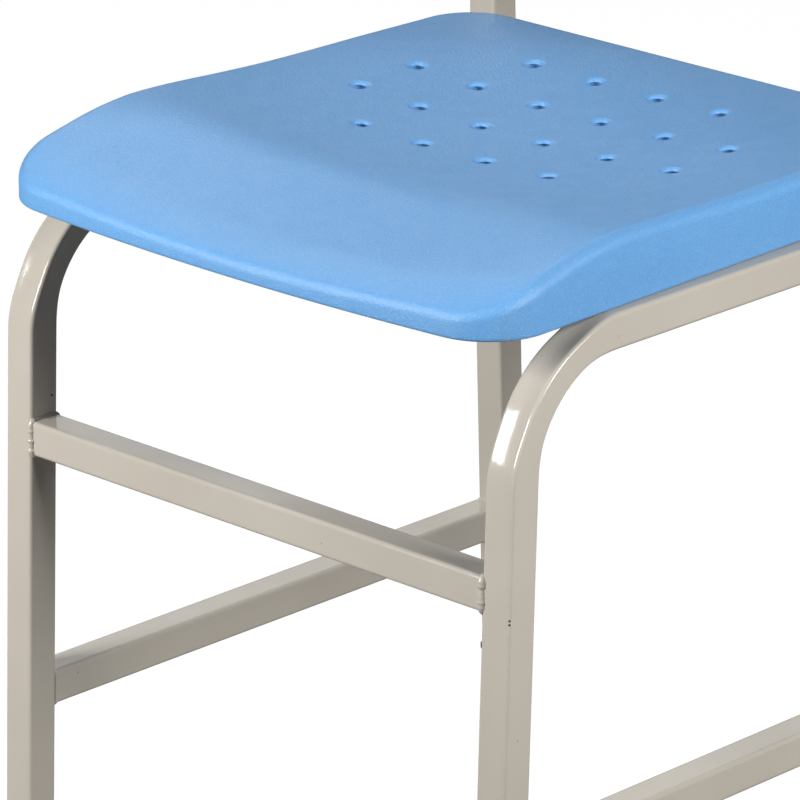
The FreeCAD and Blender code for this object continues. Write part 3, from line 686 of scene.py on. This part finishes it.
SCREW_RADIUS = 2.5 * MM
HEAD_RADIUS = 5 * MM
HEAD_HEIGHT = 3 * MM
HEAD_FLAT = 3.3 * MM
HEAD_WALL = 0.8 * MM
SCREW_GRIP = 13 * MM
CROSS_REACH = 2.5 * MM
CROSS_HALF = 0.55 * MM
CROSS_DEPTH = 1.5 * MM
CROSS_TAPER = 0.7
SCREW_TURNS = 40
WASHER = 1.2 * MM
SCREW_LOW, SCREW_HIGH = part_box("seat_screws")
SEAT_SCREW_ROWS = 3
SEAT_SCREW_X = SCREW_HIGH.x - HEAD_RADIUS
SEAT_SCREW_Y = spaced(SCREW_LOW.y + HEAD_RADIUS, SCREW_HIGH.y - HEAD_RADIUS, SEAT_SCREW_ROWS)
SEAT_SCREW_BEARING = SCREW_LOW.z + HEAD_HEIGHT
BACK_SCREW_INSET = 40 * MM
BACK_SCREW_UP = (BACK_TOP - BACK_HEIGHT + BACK_SCREW_INSET, POST_LENGTH - BACK_SCREW_INSET)
BRACKET_LENGTH = 30 * MM
BRACKET_WALL = 2.5 * MM
BRACKET_BEND = 1.5 * MM


def circle(radius, count):
    """Points round a circle."""
    turns = [2 * math.pi * i / count for i in range(count)]
    return [Vector((radius * math.cos(turn), radius * math.sin(turn))) for turn in turns]


def cross_outline(scale):
    """Outline of a cross recess."""
    long, half = CROSS_REACH * scale, CROSS_HALF * scale
    points = []
    for quarter in range(4):
        turn = Matrix.Rotation(quarter * math.pi / 2, 2)
        points += [turn @ Vector(corner) for corner in ((half, -half), (long, -half), (long, half))]
    return points


def pan_head_screw(skin, lift):
    """Pan-head screw with a cross recess; lift places points given about its axis, head upward."""
    profile = [(SCREW_RADIUS, -SCREW_GRIP), (SCREW_RADIUS, 0), (HEAD_RADIUS, 0), (HEAD_RADIUS, HEAD_WALL)]
    for turn in spaced(0.0, math.pi / 2, ROUND_STEPS + 2)[1:]:
        rise = (HEAD_HEIGHT - HEAD_WALL) * math.sin(turn)
        profile.append((HEAD_FLAT + (HEAD_RADIUS - HEAD_FLAT) * math.cos(turn), HEAD_WALL + rise))
    rings = [[lift(p.x, p.y, height) for p in circle(radius, SCREW_TURNS)] for radius, height in profile]
    loops = skin.tower(rings)
    skin.faces.append(tuple(loops[0]))
    wide, narrow = cross_outline(1.0), cross_outline(CROSS_TAPER)
    recess = skin.tower([[lift(p.x, p.y, HEAD_HEIGHT) for p in wide],
                         [lift(p.x, p.y, HEAD_HEIGHT - CROSS_DEPTH) for p in narrow]])
    skin.faces.append(tuple(recess[-1]))
    flat = circle(HEAD_FLAT, SCREW_TURNS) + wide
    numbers = loops[-1] + recess[0]
    borders = ring_borders([loops[-1], recess[0]])
    found = geometry.delaunay_2d_cdt(flat, borders, [], 0, CUT_TOLERANCE)
    spots, triangles, origins = found[0], found[2], found[3]
    for triangle in triangles:
        hub = sum((spots[i] for i in triangle), Vector((0, 0))) / 3
        near, far = sorted((abs(hub.x), abs(hub.y)))
        if near >= CROSS_HALF or far >= CROSS_REACH:
            skin.faces.append(tuple(numbers[origins[i][0]] for i in triangle))


def seat_screws():
    """Screws up through the brackets into the seat."""
    skin = Skin()
    for x in (-SEAT_SCREW_X, SEAT_SCREW_X):
        for y in SEAT_SCREW_Y:
            pan_head_screw(skin, lambda u, v, w: Vector((x + u, y - v, SEAT_SCREW_BEARING - w)))
    skin.piece("seat_fixing_screws", "fixing", "seat_screws")


def back_screws():
    """Screws through the posts into the backrest."""
    bearing = HALF_TUBE + WASHER
    skin = Skin()
    for x in (-SIDE, SIDE):
        for up in BACK_SCREW_UP:
            pan_head_screw(skin, lambda u, v, w: back_point(x + u, bearing + w, up - v))
    skin.piece("back_fixing_screws", "fixing", "backrest_screws")


def bent_strip():
    """Profile of a bracket: a strip bent to an angle, across from the rail and down from the seat."""
    low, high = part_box("right_seat_brackets")
    reach = high.x - low.x
    drop = high.z - low.z
    turns = spaced(0.0, math.pi / 2, ROUND_STEPS)
    outer = BRACKET_BEND + BRACKET_WALL
    inner = BRACKET_BEND
    points = [(reach, 0.0)]
    points += [(outer * (1 - math.sin(turn)), outer * (1 - math.cos(turn))) for turn in turns]
    points += [(0.0, drop), (BRACKET_WALL, drop)]
    points += [(outer - inner * math.sin(turn), outer - inner * math.cos(turn)) for turn in reversed(turns)]
    return points + [(reach, BRACKET_WALL)]


def seat_brackets(name, node, side):
    """Three bent brackets on a rail's inner face, under the seat."""
    strip = bent_strip()
    skin = Skin()
    for middle in SEAT_SCREW_Y:
        rings = []
        for y in (middle - BRACKET_LENGTH / 2, middle + BRACKET_LENGTH / 2):
            rings.append([Vector((side * (INNER - u), y, RAIL_TOP - w)) for u, w in strip])
        skin.closed_tower(rings)
    skin.piece(name, "enamel", node)


# Weld beads

BEAD_TURNS = 12
BEAD_STEP = 0.7 * MM
BEAD_SINK = 0.5 * MM
BEAD_RIPPLE = 0.06
BEAD_RIPPLE_LENGTH = 3.1 * MM
BEAD_LUMP = 0.35
BEAD_LUMP_LIMIT = 0.2
BEAD_LUMPS = 260
BEAD_LUMP_SHIFT = 900
BEAD_SIDE_POWER = 6

# Radii of the beads on a bar's four sides: low, far, high and near

FRONT_BEAD = (2.8 * MM, 2.0 * MM, 2.0 * MM, 2.6 * MM)
SIDE_BEAD = (1.9 * MM, 1.0 * MM, 1.6 * MM, 1.0 * MM)
UPPER_BEAD = (2.0 * MM, 1.0 * MM, 1.8 * MM, 1.0 * MM)


def bead_ring(place, along, away, radius):
    """One round section of a bead."""
    lift = along.cross(away).normalized()
    ring = []
    for turn in range(BEAD_TURNS):
        angle = 2 * math.pi * turn / BEAD_TURNS
        ring.append(place + radius * (math.cos(angle) * away + math.sin(angle) * lift))
    return ring


def weld_loop(skin, hub, across, up, away, radii):
    """Lumpy bead round a tube's end, with a radius for each of its four sides."""
    section = square_section(TUBE - 2 * BEAD_SINK, TUBE_CORNER)
    points = [hub + across * offset + up * level for offset, level in section]
    rings = []
    travelled = 0.0
    for i, point in enumerate(points):
        following = points[(i + 1) % len(points)]
        offset, level = section[i]
        weights = [max(0.0, v / HALF_TUBE) ** BEAD_SIDE_POWER for v in (-level, offset, level, -offset)]
        radius = sum(w * r for w, r in zip(weights, radii)) / sum(weights)
        length = (following - point).length
        along = (following - point).normalized()
        steps = max(1, round(length / BEAD_STEP))
        for step in range(steps):
            place = point.lerp(following, step / steps)
            ripple = BEAD_RIPPLE * math.sin(2 * math.pi * travelled / BEAD_RIPPLE_LENGTH)
            probe = place * BEAD_LUMPS + Vector((0, 0, hub.x * BEAD_LUMP_SHIFT))
            lump = min(BEAD_LUMP * noise.noise(probe), BEAD_LUMP_LIMIT)
            rings.append(bead_ring(place, along, away, radius * (1 + ripple + lump)))
            travelled += length / steps
    loops = [skin.loop(ring) for ring in rings]
    for first, second in zip(loops, loops[1:] + loops[:1]):
        skin.bridge(first, second)


def cross_welds(name, node, bar, radii):
    """Beads at both ends of a cross bar."""
    hub = middle_of(bar)
    skin = Skin()
    for side in (-1, 1):
        end = Vector((side * INNER, hub.y, hub.z))
        weld_loop(skin, end, Vector((0, 1, 0)), Vector((0, 0, 1)), Vector((-side, 0, 0)), radii)
    skin.piece(name, "enamel", node)


def leg_weld(skin, side, height, axis, to_bar, radii):
    """Bead where a bar of the side frame meets a leaning leg."""
    place = Vector((side * SIDE, axis(height) + to_bar * HALF_LEG, height))
    up = Vector((0, axis(1.0) - axis(0.0), 1))
    weld_loop(skin, place, Vector((1, 0, 0)), up, Vector((0, to_bar, 0)), radii)


# Moulded shells

GRID_STEP = VENT_PITCH / 16
GRID_CLEARANCE = 0.6 * GRID_STEP
OUTLINE_STEP = 3 * MM
EDGE_STEPS = 10
VENT_POINTS = 32
VENT_STEPS = 6
VENT_APRON = 1.2 * MM
VENT_LIP_DEPTH = 2.3 * MM
VENT_UNDERCUT = 1.4 * MM
VENT_MARGIN = 0.995
PROBE = 0.5 * MM


def arc(centre, radius, start, finish):
    """Points and outward normals of an arc, without its last point."""
    count = max(2, round(abs(finish - start) * radius / OUTLINE_STEP))
    result = []
    for i in range(count):
        angle = start + (finish - start) * i / count
        normal = np.array((math.cos(angle), math.sin(angle)))
        result.append((np.array(centre) + radius * normal, normal))
    return result


def line(start, finish):
    """Points and outward normals of a straight stretch, without its last point."""
    start, finish = np.array(start), np.array(finish)
    length = np.linalg.norm(finish - start)
    along = (finish - start) / length
    normal = np.array((along[1], -along[0]))
    count = max(1, round(length / OUTLINE_STEP))
    return [(start + (finish - start) * i / count, normal) for i in range(count)]


def seat_outline():
    """Plan of the seat, counter-clockwise from the middle of its front edge."""
    shoulder = SEAT_FRONT + SEAT_BOW
    bow_radius = (SEAT_FRONT_HALF ** 2 + SEAT_BOW ** 2) / (2 * SEAT_BOW)
    bow_hub = np.array((0.0, SEAT_FRONT + bow_radius))
    side_start = np.array((SEAT_FRONT_HALF, shoulder))
    side_end = np.array((SEAT_REAR_HALF, SEAT_REAR))
    along = (side_end - side_start) / np.linalg.norm(side_end - side_start)
    inward = np.array((-along[1], along[0]))
    base = side_start + inward * SEAT_FRONT_CORNER - bow_hub
    reach = bow_radius - SEAT_FRONT_CORNER
    slope = base @ along
    height = math.sqrt(reach ** 2 - (base @ base - slope ** 2))
    front_hub = bow_hub + base + along * (-slope - height)
    rear_base = side_start + inward * SEAT_REAR_CORNER
    rear_hub = rear_base + along * ((SEAT_REAR - SEAT_REAR_CORNER - rear_base[1]) / along[1])
    outward = -inward
    bow_angle = math.atan2(*(front_hub - bow_hub)[::-1])
    side_angle = math.atan2(outward[1], outward[0])
    half = arc(bow_hub, bow_radius, -math.pi / 2, bow_angle)
    half += arc(front_hub, SEAT_FRONT_CORNER, bow_angle, side_angle)
    half += line(front_hub + outward * SEAT_FRONT_CORNER, rear_hub + outward * SEAT_REAR_CORNER)
    half += arc(rear_hub, SEAT_REAR_CORNER, side_angle, math.pi / 2)
    half += line((rear_hub[0], SEAT_REAR), (0.0, SEAT_REAR))
    flip = np.array((-1, 1))
    rear_middle = (np.array((0.0, SEAT_REAR)), np.array((0.0, 1.0)))
    return half + [rear_middle] + [(point * flip, normal * flip) for point, normal in reversed(half[1:])]


def back_outline():
    """Outline of the backrest, counter-clockwise, across and up the posts."""
    wide = BACK_HALF - BACK_CORNER
    lower = BACK_TOP - BACK_HEIGHT + BACK_CORNER
    upper = BACK_TOP - BACK_CORNER
    hubs = ((wide, lower), (wide, upper), (-wide, upper), (-wide, lower))
    loop = []
    for quarter, hub in enumerate(hubs):
        start = quarter * math.pi / 2 - math.pi / 2
        finish = start + math.pi / 2
        loop += arc(hub, BACK_CORNER, start, finish)
        outward = BACK_CORNER * np.array((math.cos(finish), math.sin(finish)))
        following = hubs[(quarter + 1) % len(hubs)]
        loop += line(np.array(hub) + outward, np.array(following) + outward)
    return loop


def inside(points, loop):
    """Which points lie inside a closed loop."""
    x, y = points[:, 0][:, None], points[:, 1][:, None]
    ax, ay = loop[:, 0], loop[:, 1]
    bx, by = np.roll(ax, -1), np.roll(ay, -1)
    crosses = (ay > y) != (by > y)
    rise = np.where(by == ay, 1.0, by - ay)
    return (np.sum(crosses & (x < (bx - ax) * (y - ay) / rise + ax), axis=1) % 2).astype(bool)


def rim_rings(points, normals, top, radius):
    """Rings over a rounded rim, from the wall to the face, as plan points and heights."""
    def at(inset):
        return top(points - normals * inset)
    slope = (at(radius + PROBE) - at(radius - PROBE)) / (2 * PROBE)
    centre = at(radius) - radius * np.sqrt(1 + slope ** 2)
    rings = []
    for share in spaced(0.0, 1.0, EDGE_STEPS + 1):
        angle = math.pi + (np.arctan(slope) - math.pi / 2) * share
        inset = radius + radius * np.cos(angle)
        rings.append((points - normals * inset[:, None], centre + radius * np.sin(angle)))
    return rings


def vent_rings(centre, top):
    """Rings over a vent's rounded lip, from the face into the hole, as plan points and heights."""
    angles = np.linspace(0, 2 * np.pi, VENT_POINTS, endpoint=False)
    spokes = np.stack((np.cos(angles), np.sin(angles)), axis=1)
    radii = [(VENT_RADIUS + VENT_LIP + VENT_APRON, 0.0)]
    for turn in spaced(0.0, math.pi / 2, VENT_STEPS + 1):
        radii.append((VENT_RADIUS + VENT_LIP * (1 - math.sin(turn)), VENT_LIP_DEPTH * (1 - math.cos(turn))))
    radii.append((VENT_RADIUS + VENT_UNDERCUT, VENT_LIP_DEPTH + VENT_UNDERCUT / 2))
    rings = []
    for radius, depth in radii:
        points = centre + spokes * radius
        rings.append((points, top(points) - depth))
    return rings


def clear_of(points, vents, share):
    """Which points lie outside a share of the vents' outer rings."""
    clear = np.ones(len(points), dtype=bool)
    for vent in vents:
        hub = vent.mean(0)
        clear &= np.linalg.norm(points - hub, axis=1) > share * np.linalg.norm(vent[0] - hub)
    return clear


def inner_grid(rim, vents):
    """Even grid of points inside a rim, clear of it and of the vents."""
    columns = np.arange(rim[:, 0].min(), rim[:, 0].max(), GRID_STEP)
    rows = np.arange(rim[:, 1].min(), rim[:, 1].max(), GRID_STEP)
    columns = columns - (columns[0] + columns[-1]) / 2 + (rim[:, 0].min() + rim[:, 0].max()) / 2
    grid = np.array([(x, y) for x in columns for y in rows])
    grid = grid[inside(grid, rim)]
    edge = np.concatenate([rim] + vents)
    nearest = np.min(np.linalg.norm(grid[:, None, :] - edge[None, :, :], axis=2), axis=1)
    return grid[(nearest > GRID_CLEARANCE) & clear_of(grid, vents, 1.0)]


def face_between(skin, rim, vents, loops, top, lift):
    """Fill a face between its rim and its vents with even triangles."""
    plan = [rim] + vents
    grid = inner_grid(rim, vents)
    numbers = [number for loop in loops for number in loop]
    numbers += skin.loop(lift(grid, top(grid)))
    points = [Vector(point) for point in np.concatenate(plan + [grid])]
    found = geometry.delaunay_2d_cdt(points, ring_borders(plan), [], 0, CUT_TOLERANCE)
    spots, triangles, origins = found[0], found[2], found[3]
    centres = np.array([np.mean([spots[i] for i in triangle], axis=0) for triangle in triangles])
    kept = inside(centres, rim) & clear_of(centres, vents, VENT_MARGIN)
    for triangle, keep in zip(triangles, kept):
        if keep:
            skin.faces.append(tuple(numbers[origins[i][0]] for i in triangle))


def moulded_shell(outline, upper, lower, upper_edge, lower_edge, vents, lift):
    """Closed skin with two faces, rounded rims and vents that go right through."""
    points = np.array([point for point, _ in outline])
    normals = np.array([normal for _, normal in outline])
    skin = Skin()
    loops = {}
    sides = (("upper", upper, upper_edge, 1), ("lower", lambda p: -lower(p), lower_edge, -1))
    for side, top, edge, sign in sides:
        rings = rim_rings(points, normals, top, edge)
        tower = skin.tower([lift(plan, sign * height) for plan, height in rings])
        loops[side] = [tower[0]]
        rims = [tower[-1]]
        plans = [rings[-1][0]]
        for centre in vents:
            rings = vent_rings(centre, top)
            tower = skin.tower([lift(plan, sign * height) for plan, height in rings])
            loops[side].append(tower[-1])
            rims.append(tower[0])
            plans.append(rings[0][0])
        face_between(skin, plans[0], plans[1:], rims, lambda p: sign * top(p), lift)
    for first, second in zip(loops["upper"], loops["lower"]):
        skin.bridge(first, second)
    return skin


def vent_places(rows, middle):
    """Centres of the vents in plan about a point on the middle line."""
    places = []
    for row, count in enumerate(rows):
        along = middle + (row - (len(rows) - 1) / 2) * VENT_PITCH
        places += [np.array(((column - (count - 1) / 2) * VENT_PITCH, along)) for column in range(count)]
    return places


def smooth_lower(first, second):
    """Lower of two heights, with the corner between them blended."""
    share = np.maximum(SEAT_BLEND - np.abs(first - second), 0) / SEAT_BLEND
    return np.minimum(first, second) - share ** 2 * SEAT_BLEND / 4


def seat_top(plan):
    """Height of the seat's top above the rails."""
    across = plan[:, 0]
    depth = plan[:, 1] - SEAT_FRONT
    dish = SEAT_DISH + across ** 2 / (2 * SEAT_DISH_ACROSS)
    dish = dish + (depth - SEAT_DISH_CENTRE) ** 2 / (2 * SEAT_DISH_ALONG)
    share = np.abs(across) / SEAT_FRONT_HALF
    rise = np.exp(-((depth - SEAT_RISE_CENTRE) / SEAT_RISE_REACH) ** 2)
    rim = SEAT_RIM + SEAT_RIM_RISE * rise * share ** 2
    edge = SEAT_BOW * share ** 2 + CORNER_ROLL_SHARE * SEAT_FRONT_CORNER * share ** CORNER_ROLL_POWER
    slope = SEAT_FRONT_SLOPE + (SEAT_CORNER_SLOPE - SEAT_FRONT_SLOPE) * share ** 2
    ramp = SEAT_FRONT_HEIGHT + SEAT_CORNER_RISE * share ** 2 + slope * (depth - edge)
    height = smooth_lower(smooth_lower(dish, rim), ramp)
    nose = np.maximum(SEAT_NOSE_LENGTH - (depth - edge), 0) / SEAT_NOSE_LENGTH
    return height - (SEAT_NOSE_DROP + SEAT_CORNER_DROP * share ** 2) * nose ** 2


def seat():
    """Moulded seat on the rails."""
    def lift(plan, height):
        return [Vector((x, y, RAIL_TOP + z)) for (x, y), z in zip(plan, height)]

    def flat_base(plan):
        return np.zeros(len(plan))
    vents = vent_places(SEAT_VENT_ROWS, SEAT_FRONT + SEAT_VENT_CENTRE)
    skin = moulded_shell(seat_outline(), seat_top, flat_base, SEAT_EDGE, SEAT_BASE_EDGE, vents, lift)
    skin.piece("seat", "shell", "seat_shell")


def back_rear_face(plan):
    """Rear face of the backrest from the posts' axes: flat at the posts, bowed back between them."""
    reach = BACK_HALF - BACK_FLAT
    wave = np.cos(np.pi * np.clip(plan[:, 0] / reach, -1, 1) / 2) ** 2
    return BACK_BOW * wave - HALF_TUBE


def backrest():
    """Moulded backrest on the posts."""
    def lift(plan, height):
        return [back_point(x, -forward, up) for (x, up), forward in zip(plan, height)]

    def front_face(plan):
        return BACK_THICKNESS - back_rear_face(plan)

    def rear_face(plan):
        return -back_rear_face(plan)
    vents = vent_places(BACK_VENT_ROWS, BACK_TOP - BACK_HEIGHT / 2)
    skin = moulded_shell(back_outline(), front_face, rear_face, BACK_EDGE, BACK_EDGE, vents, lift)
    skin.piece("backrest", "shell", "backrest_shell")


# Assembly

for side_name, side_sign in (("left", -1), ("right", 1)):
    front_leg_rail(side_name, side_sign)
    rear_leg_post(side_name, side_sign)
    side_bar(f"{side_name}_side_bar", f"{side_name}_side_stretcher", side_sign)
    low_bar = middle_of(f"{side_name}_side_stretcher").z
    low_welds = Skin()
    leg_weld(low_welds, side_sign, low_bar, front_axis, 1, SIDE_BEAD)
    leg_weld(low_welds, side_sign, low_bar, rear_axis, -1, SIDE_BEAD)
    low_welds.piece(f"{side_name}_side_bar_beads", "enamel", f"{side_name}_side_welds")
    rail_welds = Skin()
    leg_weld(rail_welds, side_sign, RAIL_AXIS, rear_axis, -1, UPPER_BEAD)
    rail_welds.piece(f"{side_name}_rail_beads", "enamel", f"{side_name}_rail_welds")
    foot(f"{side_name}_front_glide", f"{side_name}_front_foot", side_sign, front_axis)
    foot(f"{side_name}_rear_glide", f"{side_name}_rear_foot", side_sign, rear_axis)
    post_plug(f"{side_name}_plug", f"{side_name}_post_plug", side_sign)
    seat_brackets(f"{side_name}_brackets", f"{side_name}_seat_brackets", side_sign)
cross_bar("front_bar", "front_stretcher")
cross_bar("rear_bar", "rear_crossbar")
cross_welds("front_bar_beads", "front_stretcher_welds", "front_stretcher", FRONT_BEAD)
cross_welds("rear_bar_beads", "rear_crossbar_welds", "rear_crossbar", UPPER_BEAD)
seat()
backrest()
seat_screws()
back_screws()

for washers in ("seat_washers", "backrest_washers"):
    washer_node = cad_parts[washers]
    washer_node.data.materials.clear()
    washer_node.data.materials.append(MATERIALS["fixing"])

# Stage, light and camera

FLOOR_REACH = 30.0
FLOOR_PAINT = 0.85
FLOOR_BOUNCE = 0.2
FLOOR_GLOW = 1.06
FLOOR_WHITE = 0.9
SURROUND_LIGHT = 0.01
LIGHT_TARGET = Vector((0, 0, 0.35))
LENS = 265.29
SENSOR = 36.0
VIEW_REACH = 100.0
CAMERA_PLACE = (2.29106, -2.48541, 1.47042)
CAMERA_DIP = math.radians(19.4713)
CAMERA_TURN = math.radians(43.9099)


def white_floor():
    """Large pale floor: white to the camera with a part of the shadow kept, dimmer as a reflector."""
    far = FLOOR_REACH
    corners = [(-far, -far, 0), (far, -far, 0), (far, far, 0), (-far, far, 0)]
    mesh = bpy.data.meshes.new("floor")
    mesh.from_pydata(corners, [], [(0, 1, 2, 3)])
    item = bpy.data.objects.new("floor", mesh)
    bpy.context.scene.collection.objects.link(item)
    surface = bpy.data.materials.new("floor")
    surface.use_nodes = True
    tree = surface.node_tree
    tree.nodes.clear()
    paths = tree.nodes.new("ShaderNodeLightPath")
    tint = tree.nodes.new("ShaderNodeMix")
    tint.data_type = "RGBA"
    tree.links.new(paths.outputs["Is Camera Ray"], tint.inputs[0])
    tint.inputs[6].default_value = grey(FLOOR_BOUNCE)
    tint.inputs[7].default_value = grey(FLOOR_PAINT)
    paint = tree.nodes.new("ShaderNodeBsdfDiffuse")
    tree.links.new(tint.outputs[2], paint.inputs["Color"])
    glow = tree.nodes.new("ShaderNodeEmission")
    glow.inputs["Color"].default_value = grey(1)
    glow.inputs["Strength"].default_value = FLOOR_GLOW
    share = tree.nodes.new("ShaderNodeMath")
    share.operation = "MULTIPLY"
    share.inputs[1].default_value = FLOOR_WHITE
    tree.links.new(paths.outputs["Is Camera Ray"], share.inputs[0])
    blend = tree.nodes.new("ShaderNodeMixShader")
    tree.links.new(share.outputs[0], blend.inputs[0])
    tree.links.new(paint.outputs[0], blend.inputs[1])
    tree.links.new(glow.outputs[0], blend.inputs[2])
    output = tree.nodes.new("ShaderNodeOutputMaterial")
    tree.links.new(blend.outputs[0], output.inputs[0])
    mesh.materials.append(surface)


def studio_world():
    """White surround for the camera, dimmer as a light."""
    world = bpy.data.worlds.new("studio")
    bpy.context.scene.world = world
    world.use_nodes = True
    tree = world.node_tree
    tree.nodes.clear()
    seen = tree.nodes.new("ShaderNodeBackground")
    seen.inputs["Color"].default_value = grey(1)
    seen.inputs["Strength"].default_value = 1.0
    light = tree.nodes.new("ShaderNodeBackground")
    light.inputs["Color"].default_value = grey(1)
    light.inputs["Strength"].default_value = SURROUND_LIGHT
    paths = tree.nodes.new("ShaderNodeLightPath")
    blend = tree.nodes.new("ShaderNodeMixShader")
    tree.links.new(paths.outputs["Is Camera Ray"], blend.inputs[0])
    tree.links.new(light.outputs[0], blend.inputs[1])
    tree.links.new(seen.outputs[0], blend.inputs[2])
    output = tree.nodes.new("ShaderNodeOutputWorld")
    tree.links.new(blend.outputs[0], output.inputs[0])


def softbox(name, azimuth, elevation, distance, width, height, power):
    """Rectangular lamp aimed at the chair; azimuth 0 is in front of it and 90 on its right."""
    turn, rise = math.radians(azimuth), math.radians(elevation)
    away = Vector((math.sin(turn) * math.cos(rise), -math.cos(turn) * math.cos(rise), math.sin(rise)))
    lamp = bpy.data.lights.new(name, "AREA")
    lamp.shape = "RECTANGLE"
    lamp.size = width
    lamp.size_y = height
    lamp.energy = power
    item = bpy.data.objects.new(name, lamp)
    item.location = LIGHT_TARGET + away * distance
    item.rotation_euler = away.to_track_quat("Z", "Y").to_euler()
    bpy.context.scene.collection.objects.link(item)


def photo_camera():
    """Camera at the photograph's place, with a long lens."""
    lens = bpy.data.cameras.new("camera")
    lens.lens = LENS
    lens.sensor_width = SENSOR
    lens.clip_end = VIEW_REACH
    item = bpy.data.objects.new("camera", lens)
    item.location = CAMERA_PLACE
    item.rotation_euler = Euler((math.pi / 2 - CAMERA_DIP, 0, CAMERA_TURN))
    bpy.context.scene.collection.objects.link(item)
    bpy.context.scene.camera = item


white_floor()
studio_world()
softbox("key", azimuth=-21.5, elevation=20, distance=2.0, width=0.7, height=0.7, power=45)
softbox("right", azimuth=90, elevation=28, distance=2.3, width=1.1, height=0.85, power=59)
softbox("rim", azimuth=-112, elevation=46, distance=3.0, width=1.5, height=0.75, power=15)
softbox("backdrop", azimuth=-137, elevation=18, distance=4.0, width=3.2, height=1.0, power=10)
photo_camera()
bpy.context.scene.view_settings.view_transform = "Standard"
